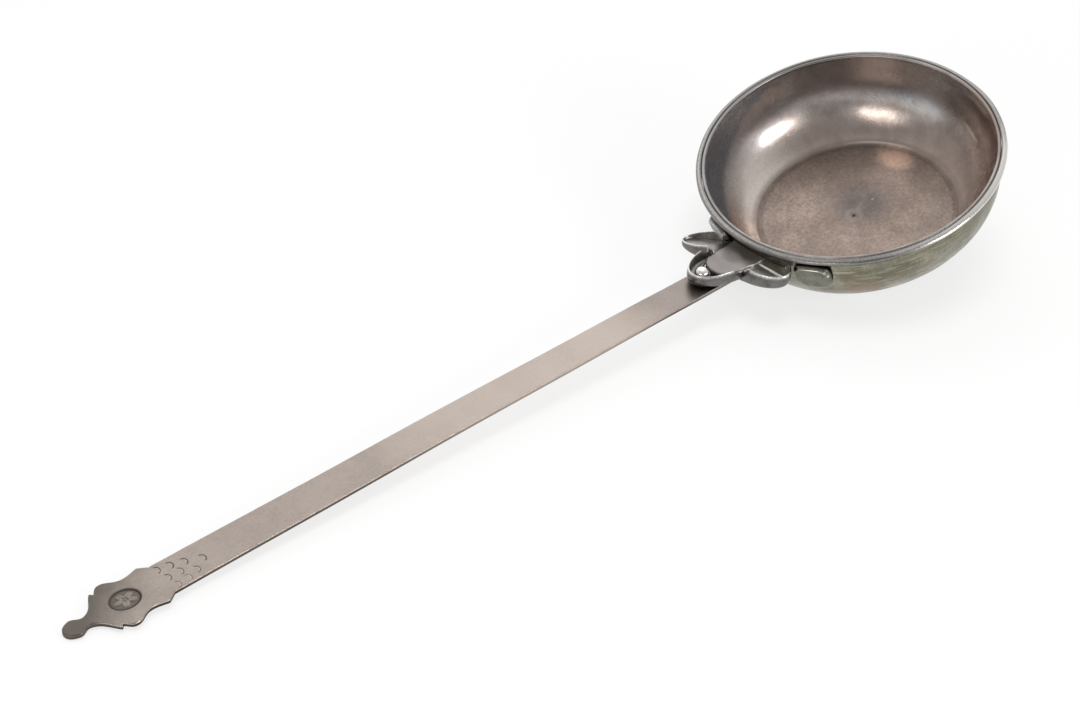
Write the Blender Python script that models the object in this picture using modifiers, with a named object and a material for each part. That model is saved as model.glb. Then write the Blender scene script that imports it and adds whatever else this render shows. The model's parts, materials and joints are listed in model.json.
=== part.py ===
"""A long-handled silver wine ladle.

A shallow raised bowl with an applied rim wire is carried by a flat strap handle. The strap
meets the bowl in a bracket of five petals: a riveted centre petal, two side petals and two
wing petals that lie on the bowl's wall. The ladle lies as it does on a table, on the near
edge of its base and on the end of its handle.

The bowl's own frame stands on the middle of its base, with the handle towards -X. The
handle's own frame starts on the strap's upper face under the rim, and its X runs out along
the strap.
"""

import math

import bmesh
import bpy
from mathutils import Vector

# Bowl, upright on its base, in metres
RIM_RADIUS = 0.0450
BOWL_HEIGHT = 0.0255
BASE_RADIUS = 0.0295
WALL_THICKNESS = 0.0011
WALL_TURN_HEIGHT = 0.0200
LIP_ROUND = 0.0003
RIM_WIRE_WIDTH = 0.0015
RIM_WIRE_HEIGHT = 0.0020

# Clearance between pieces that are soldered or riveted together
SEAT_GAP = 0.0003

# Strap handle and its cut-out terminal
HANDLE_RISE = math.radians(14.1)
HANDLE_ROOT_HEIGHT = 0.0185
HANDLE_LENGTH = 0.2278
STRAP_THICKNESS = 0.0014
STRAP_ROOT_WIDTH = 0.0093
STRAP_END_WIDTH = 0.0112
STRAP_EDGE_ROUND = 0.0003
KNOB_RADIUS = 0.0028
NECK_FROM_TIP = 0.0066
NECK_WIDTH = 0.0035
BARB_FROM_TIP = 0.0117
BARB_WIDTH = 0.0146
NOTCH_DEPTH = 0.0008
LOBE_FROM_TIP = 0.0147
LOBE_WIDTH = 0.0169
WAIST_FROM_TIP = 0.0203
WAIST_WIDTH = 0.0130
SHOULDER_FROM_TIP = 0.0252
SHOULDER_WIDTH = 0.0146
STRAP_END_FROM_TIP = 0.0278

# Bracket: dished petals whose rims stand above the strap
PETAL_THICKNESS = 0.0006
PETAL_RIM_HEIGHT = 0.0045
PETAL_FULLNESS = 5.0
CENTRE_PETAL_REACH = 0.0213
CENTRE_PETAL_LENGTH = 0.0260
CENTRE_PETAL_WIDTH = 0.0140
CENTRE_PETAL_CURL = 0.09

# Side petals, each bent by hand to its own place
SIDE_PETAL_LENGTH = 0.0184
SIDE_PETAL_DROP = 0.0009
RIGHT_PETAL_WIDTH = 0.0116
RIGHT_PETAL_OUT = 0.0022
RIGHT_PETAL_ACROSS = 0.0091
RIGHT_PETAL_SWEEP = math.radians(2.0)
RIGHT_PETAL_DROOP = math.radians(0.0)
LEFT_PETAL_WIDTH = 0.0074
LEFT_PETAL_OUT = 0.0043
LEFT_PETAL_ACROSS = 0.0085
LEFT_PETAL_SWEEP = math.radians(-30.0)
LEFT_PETAL_DROOP = math.radians(12.0)

# Wing petals on the bowl's wall
WING_LENGTH = 0.0112
WING_HEIGHT = 0.0104
WING_THICKNESS = 0.0022
WING_MID_HEIGHT = 0.0177
RIGHT_WING_FROM_TONGUE = 0.0090
LEFT_WING_FROM_TONGUE = 0.0008

# Tongue over the strap, and the rivet beyond it
TONGUE_THICKNESS = 0.0020
TONGUE_ROOT_WIDTH = 0.0126
TONGUE_OVERHANG = 0.0001
TONGUE_END_ROUND = 0.0030
TONGUE_REACH = 0.0124
TONGUE_EDGE_ROUND = 0.0003
CORE_FLARE = math.radians(30.0)
RIVET_FROM_TONGUE = 0.0024
RIVET_HEAD_RADIUS = 0.0023
RIVET_HEAD_HEIGHT = 0.0034
RIVET_SHANK_RADIUS = 0.0010
RIVET_TAIL_RADIUS = 0.0016
RIVET_TAIL_HEIGHT = 0.0005

# Facets
BOWL_STEPS = 84
WALL_ARC_STEPS = 9
PETAL_SEGMENTS = 36
PETAL_RINGS = 7
RIVET_STEPS = 24
RIVET_DOME_STEPS = 5
OUTLINE_RESOLUTION = 6
MERGE_DISTANCE = 0.000005
FLAT_ANGLE = math.radians(0.1)

# Derived sizes of the bowl
WALL_RADIUS = RIM_RADIUS - RIM_WIRE_WIDTH - SEAT_GAP
WALL_OVERHANG = WALL_RADIUS - BASE_RADIUS
WALL_ARC_RADIUS = (WALL_OVERHANG ** 2 + WALL_TURN_HEIGHT ** 2) / (2 * WALL_OVERHANG)
WALL_ARC_CENTRE = WALL_RADIUS - WALL_ARC_RADIUS

# Derived sizes of the bracket
TONGUE_TOP = SEAT_GAP + TONGUE_THICKNESS
CENTRE_PETAL_MIDDLE = CENTRE_PETAL_REACH - CENTRE_PETAL_LENGTH / 2
CENTRE_PETAL_OPEN_END = RIGHT_PETAL_OUT + RIGHT_PETAL_WIDTH / 2 + SEAT_GAP
RIVET_ALONG = TONGUE_REACH + RIVET_FROM_TONGUE + RIVET_HEAD_RADIUS


def wall_radius(height, inset=0.0):
    """Radius of the bowl's outer wall at a height, or of a surface that far inside it."""
    drop = max(0.0, WALL_TURN_HEIGHT - height)
    arc = WALL_ARC_RADIUS - inset
    return WALL_ARC_CENTRE + math.sqrt(arc ** 2 - drop ** 2)


def wall_profile(floor_height, inset):
    """Points up the curved wall, from a floor to where the wall becomes upright."""
    low = math.asin((WALL_TURN_HEIGHT - floor_height) / (WALL_ARC_RADIUS - inset))
    heights = []
    for step in range(WALL_ARC_STEPS + 1):
        angle = low * (1 - step / WALL_ARC_STEPS)
        heights.append(WALL_TURN_HEIGHT - (WALL_ARC_RADIUS - inset) * math.sin(angle))
    return [(wall_radius(height, inset), height) for height in heights]


def clear_scene():
    """Remove every object of the scene."""
    for obj in list(bpy.data.objects):
        bpy.data.objects.remove(obj)


def add_collection(name):
    """Make a collection in the scene."""
    collection = bpy.data.collections.new(name)
    bpy.context.scene.collection.children.link(collection)
    return collection


def silver(name, colour, roughness):
    """Make a finish of worn silver."""
    material = bpy.data.materials.new(name)
    material.use_nodes = True
    shader = material.node_tree.nodes["Principled BSDF"]
    shader.inputs["Base Color"].default_value = (*colour, 1.0)
    shader.inputs["Roughness"].default_value = roughness
    shader.inputs["Metallic"].default_value = 1.0
    return material


def add_piece(name, mesh, parent, material):
    """Add a named piece of the ladle."""
    piece = bpy.data.objects.new(name, mesh)
    piece.parent = parent
    piece.data.materials.append(material)
    PARTS.objects.link(piece)
    return piece


def add_cutter(name, mesh, parent):
    """Add a shape that only cuts others."""
    cutter = bpy.data.objects.new(name, mesh)
    cutter.parent = parent
    cutter.hide_render = True
    cutter.display_type = "WIRE"
    CUTTERS.objects.link(cutter)
    return cutter


def cut(piece, cutter):
    """Take a cutter's shape out of a piece."""
    boolean = piece.modifiers.new(f"cut by {cutter.name}", "BOOLEAN")
    boolean.operation = "DIFFERENCE"
    boolean.object = cutter


def profile_mesh(name, profile, closed=False):
    """Make the profile of a turned shape, in the XZ plane."""
    edges = [(index, index + 1) for index in range(len(profile) - 1)]
    if closed:
        edges.append((len(profile) - 1, 0))
    mesh = bpy.data.meshes.new(name)
    mesh.from_pydata([(radius, 0.0, height) for radius, height in profile], edges, [])
    return mesh


def turn(piece, steps):
    """Turn a profile about Z."""
    screw = piece.modifiers.new("turned", "SCREW")
    screw.steps = steps
    screw.render_steps = steps
    screw.use_merge_vertices = True
    screw.merge_threshold = MERGE_DISTANCE
    screw.use_smooth_shade = True


def bezier_outline(name, corners, low, high, edge_round):
    """Make a flat plate from an outline.

    Each corner is (along, across, handle type). The plate fills the heights from low to high.
    """
    curve = bpy.data.curves.new(name, "CURVE")
    curve.dimensions = "2D"
    curve.fill_mode = "BOTH"
    curve.resolution_u = OUTLINE_RESOLUTION
    curve.bevel_depth = edge_round
    curve.bevel_resolution = 0
    curve.offset = -edge_round
    curve.extrude = (high - low) / 2 - edge_round
    spline = curve.splines.new("BEZIER")
    spline.bezier_points.add(len(corners) - 1)
    spline.use_cyclic_u = True
    for point, (along, across, handle) in zip(spline.bezier_points, corners):
        point.co = (along, across, 0.0)
        point.handle_left_type = handle
        point.handle_right_type = handle
    holder = bpy.data.objects.new(name, curve)
    bpy.context.scene.collection.objects.link(holder)
    graph = bpy.context.evaluated_depsgraph_get()
    mesh = bpy.data.meshes.new_from_object(holder.evaluated_get(graph))
    bpy.data.objects.remove(holder)
    shape = bmesh.new()
    shape.from_mesh(mesh)
    bmesh.ops.remove_doubles(shape, verts=shape.verts, dist=MERGE_DISTANCE)
    bmesh.ops.dissolve_limit(
        shape, angle_limit=FLAT_ANGLE, verts=shape.verts[:], edges=shape.edges[:]
    )
    bmesh.ops.translate(shape, verts=shape.verts, vec=(0.0, 0.0, (low + high) / 2))
    shape.to_mesh(mesh)
    shape.free()
    return mesh


def both_sides(half):
    """Close an outline whose first side is given from root to tip.

    A point on the middle line is kept once.
    """
    other = [(along, -across, handle) for along, across, handle in reversed(half) if across]
    return half + other


def power(value, exponent):
    """Raise a number's size to a power and keep its sign."""
    return math.copysign(abs(value) ** exponent, value)


def sphere_cage(segments, rings):
    """A ball of unit radius, to be drawn out into a petal."""
    shape = bmesh.new()
    bmesh.ops.create_uvsphere(shape, u_segments=segments, v_segments=2 * rings, radius=1.0)
    return shape


def drawn_out(point, length, width, fullness):
    """Move a point of the ball onto a full, flat-bottomed oval form of unit depth."""
    level = math.hypot(point.x, point.y)
    spread = level ** (2 / fullness - 1) if level else 0.0
    along = point.x * spread * length / 2
    across = point.y * spread * width / 2
    return Vector((along, across, power(point.z, 2 / fullness)))


def dish_mesh(name, length, width, depth, curl=0.0):
    """Make the open outer surface of a dished petal, with its rim at z = 0.

    The length and the width are those of the rim; with a curl, the rim is drawn in by that
    share of the petal's belly.
    """
    shape = sphere_cage(PETAL_SEGMENTS, PETAL_RINGS)
    upper = [vert for vert in shape.verts if vert.co.z > MERGE_DISTANCE]
    bmesh.ops.delete(shape, geom=upper, context="VERTS")
    for vert in shape.verts:
        place = drawn_out(vert.co, length, width, PETAL_FULLNESS)
        drawn_in = (1 - curl * (1 + place.z) ** 2) / (1 - curl)
        vert.co = (place.x * drawn_in, place.y * drawn_in, place.z * depth)
    mesh = bpy.data.meshes.new(name)
    shape.to_mesh(mesh)
    shape.free()
    mesh.shade_smooth()
    return mesh


def thicken(piece):
    """Give a petal's surface its thickness, inwards."""
    solidify = piece.modifiers.new("sheet", "SOLIDIFY")
    solidify.thickness = PETAL_THICKNESS
    solidify.offset = -1.0
    solidify.use_even_offset = True


def cylinder_mesh(name, radius, low, high, along):
    """Make a plain cylinder across the strap."""
    shape = bmesh.new()
    bmesh.ops.create_cone(
        shape, cap_ends=True, segments=RIVET_STEPS, radius1=radius, radius2=radius, depth=high - low
    )
    bmesh.ops.translate(shape, verts=shape.verts, vec=(along, 0.0, (low + high) / 2))
    mesh = bpy.data.meshes.new(name)
    shape.to_mesh(mesh)
    shape.free()
    return mesh


def build_bowl(frame):
    """The raised bowl: a flat floor, a rounded wall and an upright lip."""
    inner = wall_profile(WALL_THICKNESS, WALL_THICKNESS)
    outer = wall_profile(0.0, 0.0)
    lip_inside = WALL_RADIUS - WALL_THICKNESS
    lip = [
        (lip_inside, BOWL_HEIGHT - LIP_ROUND),
        (lip_inside + LIP_ROUND, BOWL_HEIGHT),
        (WALL_RADIUS - LIP_ROUND, BOWL_HEIGHT),
        (WALL_RADIUS, BOWL_HEIGHT - LIP_ROUND),
    ]
    profile = [(0.0, WALL_THICKNESS)] + inner + lip + outer[::-1] + [(0.0, 0.0)]
    material = silver("bowl_silver", (0.34, 0.29, 0.25), 0.36)
    bowl = add_piece("bowl", profile_mesh("bowl", profile), frame, material)
    turn(bowl, BOWL_STEPS)


def build_rim_wire(frame):
    """Half-round wire round the outside of the lip."""
    flat_side = RIM_RADIUS - RIM_WIRE_WIDTH
    profile = []
    for step in range(RIVET_DOME_STEPS * 2 + 1):
        angle = math.pi * (0.5 - step / (RIVET_DOME_STEPS * 2))
        radius = flat_side + RIM_WIRE_WIDTH * math.cos(angle)
        height = BOWL_HEIGHT - RIM_WIRE_HEIGHT / 2 * (1 - math.sin(angle))
        profile.append((radius, height))
    material = silver("rim_silver", (0.62, 0.57, 0.53), 0.28)
    wire = add_piece("rim_wire", profile_mesh("rim_wire", profile, closed=True), frame, material)
    turn(wire, BOWL_STEPS)


def bowl_envelope(frame):
    """The space that the bowl's wall and rim wire need, for pieces that are fitted to them."""
    top = BOWL_HEIGHT + WALL_TURN_HEIGHT
    under_wire = BOWL_HEIGHT - RIM_WIRE_HEIGHT - SEAT_GAP
    sides = [(radius + SEAT_GAP, height) for radius, height in wall_profile(0.0, 0.0)]
    rim = [
        (0.0, top),
        (RIM_RADIUS + SEAT_GAP, top),
        (RIM_RADIUS + SEAT_GAP, under_wire),
        (WALL_RADIUS + SEAT_GAP, under_wire),
    ]
    profile = rim + sides[::-1] + [(0.0, 0.0)]
    envelope = add_cutter("bowl_envelope", profile_mesh("bowl_envelope", profile), frame)
    turn(envelope, BOWL_STEPS)
    return envelope


def strap_half_outline():
    """One edge of the strap, from inside the bowl's wall to the tip of the knob."""
    tip = HANDLE_LENGTH
    root = WALL_RADIUS - RIM_RADIUS - STRAP_THICKNESS
    neck_half = NECK_WIDTH / 2
    barb_half = BARB_WIDTH / 2
    notch_along = tip - BARB_FROM_TIP - NOTCH_DEPTH
    return [
        (root, STRAP_ROOT_WIDTH / 2, "VECTOR"),
        (tip - STRAP_END_FROM_TIP, STRAP_END_WIDTH / 2, "VECTOR"),
        (tip - SHOULDER_FROM_TIP, SHOULDER_WIDTH / 2, "VECTOR"),
        (tip - WAIST_FROM_TIP, WAIST_WIDTH / 2, "AUTO"),
        (tip - LOBE_FROM_TIP, LOBE_WIDTH / 2, "AUTO"),
        (notch_along, barb_half - NOTCH_DEPTH, "VECTOR"),
        (tip - BARB_FROM_TIP, barb_half, "VECTOR"),
        (tip - NECK_FROM_TIP, neck_half, "AUTO"),
        (tip - KNOB_RADIUS, KNOB_RADIUS, "AUTO"),
        (tip, 0.0, "AUTO"),
    ]


def build_strap(frame, fitted):
    """The flat handle with its cut-out terminal."""
    mesh = bezier_outline(
        "handle_strap", both_sides(strap_half_outline()), -STRAP_THICKNESS, 0.0, STRAP_EDGE_ROUND
    )
    material = silver("strap_silver", (0.52, 0.46, 0.42), 0.40)
    strap = add_piece("handle_strap", mesh, frame, material)
    for cutter in fitted:
        cut(strap, cutter)


def tongue_end_half_width():
    """Half the tongue's width where its end starts to round: just over the strap's."""
    root, end = strap_half_outline()[:2]
    share = (TONGUE_REACH - TONGUE_END_ROUND - root[0]) / (end[0] - root[0])
    return root[1] + (end[1] - root[1]) * share + TONGUE_OVERHANG


def tongue_half_outline(margin):
    """One edge of the tongue, from inside the bowl's wall to its blunt end."""
    root = WALL_RADIUS - RIM_RADIUS - STRAP_THICKNESS
    return [
        (root, TONGUE_ROOT_WIDTH / 2 + margin, "VECTOR"),
        (TONGUE_REACH - TONGUE_END_ROUND, tongue_end_half_width() + margin, "AUTO"),
        (TONGUE_REACH + margin, 0.0, "AUTO"),
    ]


def build_tongue(frame, fitted):
    """The flat plate that ties the strap to the bowl, over the strap."""
    mesh = bezier_outline(
        "bracket_tongue",
        both_sides(tongue_half_outline(0.0)),
        SEAT_GAP,
        TONGUE_TOP,
        TONGUE_EDGE_ROUND,
    )
    material = silver("tongue_silver", (0.44, 0.39, 0.36), 0.38)
    tongue = add_piece("bracket_tongue", mesh, frame, material)
    cut(tongue, fitted)


def tongue_envelope(frame):
    """The space that the tongue needs."""
    outline = both_sides(tongue_half_outline(SEAT_GAP))
    mesh = bezier_outline("tongue_envelope", outline, 0.0, TONGUE_TOP + SEAT_GAP, 0.0)
    return add_cutter("tongue_envelope", mesh, frame)


def bracket_core(frame):
    """The tongue's space between the side petals, which widens above it towards their rims."""
    seat = TONGUE_TOP + SEAT_GAP
    top = seat + SIDE_PETAL_LENGTH
    outline = both_sides(tongue_half_outline(SEAT_GAP))
    mesh = bezier_outline("bracket_core", outline, 0.0, top, 0.0)
    shape = bmesh.new()
    shape.from_mesh(mesh)
    bmesh.ops.bisect_plane(
        shape,
        geom=shape.verts[:] + shape.edges[:] + shape.faces[:],
        plane_co=(0.0, 0.0, seat),
        plane_no=(0.0, 0.0, 1.0),
    )
    wider = 1 + (top - seat) * math.tan(CORE_FLARE) / tongue_end_half_width()
    for vert in shape.verts:
        if vert.co.z > (seat + top) / 2:
            vert.co.y *= wider
    shape.to_mesh(mesh)
    shape.free()
    return add_cutter("bracket_core", mesh, frame)


def strap_envelope(frame):
    """The space that the strap's root needs between the side petals' floors, up into the core."""
    edge = strap_half_outline()[:2]
    half = [(along, across + SEAT_GAP, handle) for along, across, handle in edge]
    low = -STRAP_THICKNESS - SIDE_PETAL_LENGTH
    mesh = bezier_outline("strap_envelope", both_sides(half), low, SEAT_GAP / 2, 0.0)
    return add_cutter("strap_envelope", mesh, frame)


def centre_petal_mouth(frame):
    """The space inside the centre petal's open end, out to where the petal starts."""
    start = CENTRE_PETAL_MIDDLE - CENTRE_PETAL_LENGTH
    ends = (start, CENTRE_PETAL_OPEN_END)
    outline = both_sides([(along, CENTRE_PETAL_WIDTH, "VECTOR") for along in ends])
    top = 2 * PETAL_RIM_HEIGHT
    mesh = bezier_outline("centre_petal_mouth", outline, -PETAL_RIM_HEIGHT, top, 0.0)
    return add_cutter("centre_petal_mouth", mesh, frame)


def build_centre_petal(frame, fitted):
    """The riveted petal, open towards the bowl, where the tongue enters it."""
    depth = PETAL_RIM_HEIGHT - SEAT_GAP
    mesh = dish_mesh(
        "centre_petal", CENTRE_PETAL_LENGTH, CENTRE_PETAL_WIDTH, depth, CENTRE_PETAL_CURL
    )
    material = silver("centre_petal_silver", (0.33, 0.31, 0.29), 0.34)
    petal = add_piece("centre_petal", mesh, frame, material)
    petal.location = (CENTRE_PETAL_MIDDLE, 0.0, PETAL_RIM_HEIGHT)
    thicken(petal)
    for cutter in fitted:
        cut(petal, cutter)


def build_side_petal(name, side, place, frame, fitted):
    """A dished petal beside the strap, bent by hand to its own place.

    The place is its width, where its middle is along and across the strap, its sweep towards
    the bowl and its droop.
    """
    width, out, across, sweep, droop = place
    mesh = dish_mesh(name, SIDE_PETAL_LENGTH, width, PETAL_RIM_HEIGHT + SIDE_PETAL_DROP)
    material = silver(f"{name}_silver", (0.31, 0.29, 0.27), 0.34)
    petal = add_piece(name, mesh, frame, material)
    petal.location = (out, side * across, PETAL_RIM_HEIGHT)
    petal.rotation_euler = (0.0, droop, side * (math.pi / 2 + sweep))
    thicken(petal)
    for cutter in fitted:
        cut(petal, cutter)


def wing_mesh(name, side, start, margin):
    """A leaf on the bowl's wall, flat behind and crowned in front, or the space it needs.

    It starts at that distance from the tongue.
    """
    middle = TONGUE_ROOT_WIDTH / 2 + start + WING_LENGTH / 2
    shape = sphere_cage(PETAL_SEGMENTS, PETAL_RINGS)
    length = WING_LENGTH + 2 * margin
    tall = WING_HEIGHT + 2 * margin
    thick = WING_THICKNESS + margin
    for vert in shape.verts:
        place = drawn_out(vert.co, length, tall, PETAL_FULLNESS)
        height = WING_MID_HEIGHT + place.y
        radius = wall_radius(height) + SEAT_GAP + thick * max(0.0, place.z)
        turned = math.pi + side * (middle + place.x) / WALL_RADIUS
        vert.co = (radius * math.cos(turned), radius * math.sin(turned), height)
    if side < 0:
        bmesh.ops.reverse_faces(shape, faces=shape.faces)
    mesh = bpy.data.meshes.new(name)
    shape.to_mesh(mesh)
    shape.free()
    mesh.shade_smooth()
    return mesh


def build_wing_petal(name, side, start, frame):
    """A wing petal against the bowl's wall; returns the space that it needs."""
    material = silver(f"{name}_silver", (0.36, 0.34, 0.30), 0.36)
    add_piece(name, wing_mesh(name, side, start, 0.0), frame, material)
    space = f"{name}_envelope"
    return add_cutter(space, wing_mesh(space, side, start, SEAT_GAP), frame)


def rivet_seat():
    """Height of the rivet head's underside, clear of the petal's floor as it starts to rise."""
    reach = RIVET_ALONG + RIVET_HEAD_RADIUS - CENTRE_PETAL_MIDDLE
    outward = reach * (1 - CENTRE_PETAL_CURL) / (CENTRE_PETAL_LENGTH / 2)
    level = (1 - outward ** PETAL_FULLNESS) ** (1 / PETAL_FULLNESS)
    rise = (PETAL_RIM_HEIGHT - SEAT_GAP) * (1 - level)
    return SEAT_GAP + rise + PETAL_THICKNESS + SEAT_GAP


def build_rivet(frame):
    """The domed rivet through the centre petal and the strap, with its closed tail."""
    seat = rivet_seat()
    tail_top = -STRAP_THICKNESS - SEAT_GAP
    profile = []
    for step in range(RIVET_DOME_STEPS + 1):
        angle = math.pi / 2 * (1 - step / RIVET_DOME_STEPS)
        radius = RIVET_HEAD_RADIUS * math.cos(angle)
        profile.append((radius, seat + RIVET_HEAD_HEIGHT * math.sin(angle)))
    profile[0] = (0.0, seat + RIVET_HEAD_HEIGHT)
    profile += [
        (RIVET_SHANK_RADIUS, seat),
        (RIVET_SHANK_RADIUS, tail_top),
        (RIVET_TAIL_RADIUS, tail_top),
        (RIVET_SHANK_RADIUS, tail_top - RIVET_TAIL_HEIGHT),
        (0.0, tail_top - RIVET_TAIL_HEIGHT),
    ]
    material = silver("rivet_silver", (0.75, 0.72, 0.70), 0.22)
    rivet = add_piece("handle_rivet", profile_mesh("handle_rivet", profile), frame, material)
    rivet.location.x = RIVET_ALONG
    turn(rivet, RIVET_STEPS)


def rivet_hole(frame):
    """The hole for the rivet, through the petal's floor and the strap."""
    low = -2 * STRAP_THICKNESS
    radius = RIVET_SHANK_RADIUS + SEAT_GAP
    mesh = cylinder_mesh("rivet_hole", radius, low, rivet_seat(), RIVET_ALONG)
    return add_cutter("rivet_hole", mesh, frame)


def rest_tilt():
    """Angle at which the base's edge and the handle's tip lie on one level."""
    along = HANDLE_LENGTH - STRAP_EDGE_ROUND
    out = RIM_RADIUS + along * math.cos(HANDLE_RISE) + STRAP_THICKNESS * math.sin(HANDLE_RISE)
    up = HANDLE_ROOT_HEIGHT + along * math.sin(HANDLE_RISE) - STRAP_THICKNESS * math.cos(HANDLE_RISE)
    return math.atan2(up, out - BASE_RADIUS)


def lay_on_table(frame):
    """Tip the ladle to its rest and put the middle of its footprint at the origin."""
    frame.rotation_euler.y = -rest_tilt()
    graph = bpy.context.evaluated_depsgraph_get()
    points = []
    for piece in PARTS.objects:
        if piece.type == "MESH":
            solid = piece.evaluated_get(graph)
            points += [solid.matrix_world @ vert.co for vert in solid.data.vertices]
    low = Vector(min(point[axis] for point in points) for axis in range(3))
    high = Vector(max(point[axis] for point in points) for axis in range(3))
    frame.location = (-(low.x + high.x) / 2, -(low.y + high.y) / 2, -low.z)


def add_frame(name, parent=None):
    """Add an empty that carries pieces."""
    frame = bpy.data.objects.new(name, None)
    frame.parent = parent
    PARTS.objects.link(frame)
    return frame


def build_ladle():
    """Build every piece and lay the ladle on the table."""
    bowl_frame = add_frame("bowl_frame")
    handle_frame = add_frame("handle_frame", bowl_frame)
    handle_frame.location = (-RIM_RADIUS, 0.0, HANDLE_ROOT_HEIGHT)
    handle_frame.rotation_euler = (0.0, -HANDLE_RISE, math.pi)

    bowl_space = bowl_envelope(bowl_frame)
    tongue_space = tongue_envelope(handle_frame)
    core_space = bracket_core(handle_frame)
    strap_space = strap_envelope(handle_frame)
    mouth = centre_petal_mouth(handle_frame)
    hole = rivet_hole(handle_frame)

    build_bowl(bowl_frame)
    build_rim_wire(bowl_frame)
    build_strap(handle_frame, (bowl_space, hole))
    build_tongue(handle_frame, bowl_space)
    build_centre_petal(handle_frame, (mouth, tongue_space, hole))
    left = (
        LEFT_PETAL_WIDTH,
        LEFT_PETAL_OUT,
        LEFT_PETAL_ACROSS,
        LEFT_PETAL_SWEEP,
        LEFT_PETAL_DROOP,
    )
    right = (
        RIGHT_PETAL_WIDTH,
        RIGHT_PETAL_OUT,
        RIGHT_PETAL_ACROSS,
        RIGHT_PETAL_SWEEP,
        RIGHT_PETAL_DROOP,
    )
    sides = (
        ("left", -1, left, LEFT_WING_FROM_TONGUE),
        ("right", 1, right, RIGHT_WING_FROM_TONGUE),
    )
    for name, side, place, start in sides:
        wing_space = build_wing_petal(f"{name}_wing_petal", side, start, bowl_frame)
        fitted = (core_space, strap_space, bowl_space, wing_space)
        build_side_petal(f"{name}_petal", side, place, handle_frame, fitted)
    build_rivet(handle_frame)
    lay_on_table(bowl_frame)


clear_scene()
PARTS = add_collection("wine_ladle")
CUTTERS = add_collection("cutters")
build_ladle()
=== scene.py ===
"""Looks of a long-handled silver wine ladle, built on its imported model.

Every piece is made in one of two frames, in millimetres. The bowl's frame stands on the middle
of its base, with X away from the handle. The handle's frame starts on the strap's top face under
the rim, with X out along the strap and Z up from its face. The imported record's mount on the base
says where both lie on the table.
"""

import json
import logging
import math
from dataclasses import dataclass, field, replace
from enum import Enum
from typing import Callable, Sequence

import bmesh
import bpy
import numpy as np
from mathutils import Matrix, Vector


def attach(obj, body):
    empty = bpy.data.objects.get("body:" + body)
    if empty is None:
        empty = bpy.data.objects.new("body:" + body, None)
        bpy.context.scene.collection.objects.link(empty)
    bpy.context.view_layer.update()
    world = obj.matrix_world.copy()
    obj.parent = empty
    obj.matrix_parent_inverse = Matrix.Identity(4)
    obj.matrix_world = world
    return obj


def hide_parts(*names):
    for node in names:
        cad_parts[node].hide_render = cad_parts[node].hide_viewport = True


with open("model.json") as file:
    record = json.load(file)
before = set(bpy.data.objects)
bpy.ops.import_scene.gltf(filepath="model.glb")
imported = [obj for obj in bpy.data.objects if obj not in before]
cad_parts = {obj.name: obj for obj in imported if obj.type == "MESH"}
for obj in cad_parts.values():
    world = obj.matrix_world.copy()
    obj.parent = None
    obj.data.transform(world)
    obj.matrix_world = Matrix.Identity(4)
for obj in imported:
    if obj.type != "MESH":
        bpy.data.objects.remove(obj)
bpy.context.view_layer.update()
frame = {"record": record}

LOG = logging.getLogger("wine_ladle")
METRES = 0.001
MERGE = 1e-7
TURN = 2 * math.pi
QUARTER = math.pi / 2

Colour = tuple[float, float, float]
Array = np.ndarray
Number = np.ndarray | float
Shape = tuple[np.ndarray, list[tuple]]
Material = bpy.types.Material


class Slot(Enum):
    """The record's material slots."""

    BOWL = "bowl_silver"
    RIM = "rim_silver"
    STRAP = "strap_silver"
    TONGUE = "tongue_silver"
    PETAL = "petal_silver"
    WING = "wing_silver"
    RIVET = "rivet_silver"


class Corner(Enum):
    """How an outline turns at a corner."""

    SHARP = "VECTOR"
    ROUND = "AUTO"


Corners = list[tuple[float, float, Corner]]


@dataclass(frozen=True)
class BowlSize:
    """Sizes of the bowl and its rim wire, in millimetres."""

    rim_radius: float = 45.0
    height: float = 25.5
    base_radius: float = 29.5
    wall: float = 1.1
    turn_height: float = 20.0
    wire_width: float = 1.5
    wire_height: float = 2.0
    gap: float = 0.3
    centre_punch: tuple[float, float] = (-1.4, 0.0)

    @property
    def wall_radius(self) -> float:
        """Outer radius of the upright wall."""
        return self.rim_radius - self.wire_width - self.gap

    @property
    def arc(self) -> float:
        """Radius of the wall's outer curve."""
        over = self.wall_radius - self.base_radius
        return (over**2 + self.turn_height**2) / (2 * over)

    def outer(self, height: Number, inset: float = 0.0) -> Array:
        """Radius of the wall at a height, on its outside or that far within."""
        drop = np.maximum(0.0, self.turn_height - np.asarray(height, float))
        return self.wall_radius - self.arc + np.sqrt((self.arc - inset) ** 2 - drop**2)


@dataclass(frozen=True)
class HandleSize:
    """Sizes of the strap, its terminal and its bracket, in millimetres."""

    rise: float = math.radians(14.1)
    root_height: float = 18.5
    length: float = 227.8
    thickness: float = 1.4
    root_width: float = 9.3
    end_width: float = 11.2
    knob_radius: float = 2.8
    tongue_reach: float = 12.4
    tongue_root: float = 12.6
    tongue_low: float = 0.3
    tongue_top: float = 2.3
    petal_rim: float = 4.5
    petal_sheet: float = 0.6
    rivet_along: float = 17.1


BOWL = BowlSize()
HANDLE = HandleSize()
# Corners of the terminal: distance from the tip, half the width there, and how the outline turns.
TERMINAL = {
    "shaft_end": (27.8, HANDLE.end_width / 2, Corner.SHARP),
    "shoulder": (25.2, 7.3, Corner.SHARP),
    "waist": (20.3, 6.5, Corner.ROUND),
    "lobe": (14.7, 8.45, Corner.ROUND),
    "notch": (12.5, 6.5, Corner.SHARP),
    "barb": (11.7, 7.3, Corner.SHARP),
    "neck": (6.6, 1.75, Corner.ROUND),
    "knob": (HANDLE.knob_radius, HANDLE.knob_radius, Corner.ROUND),
    "tip": (0.0, 0.0, Corner.ROUND),
}


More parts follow.
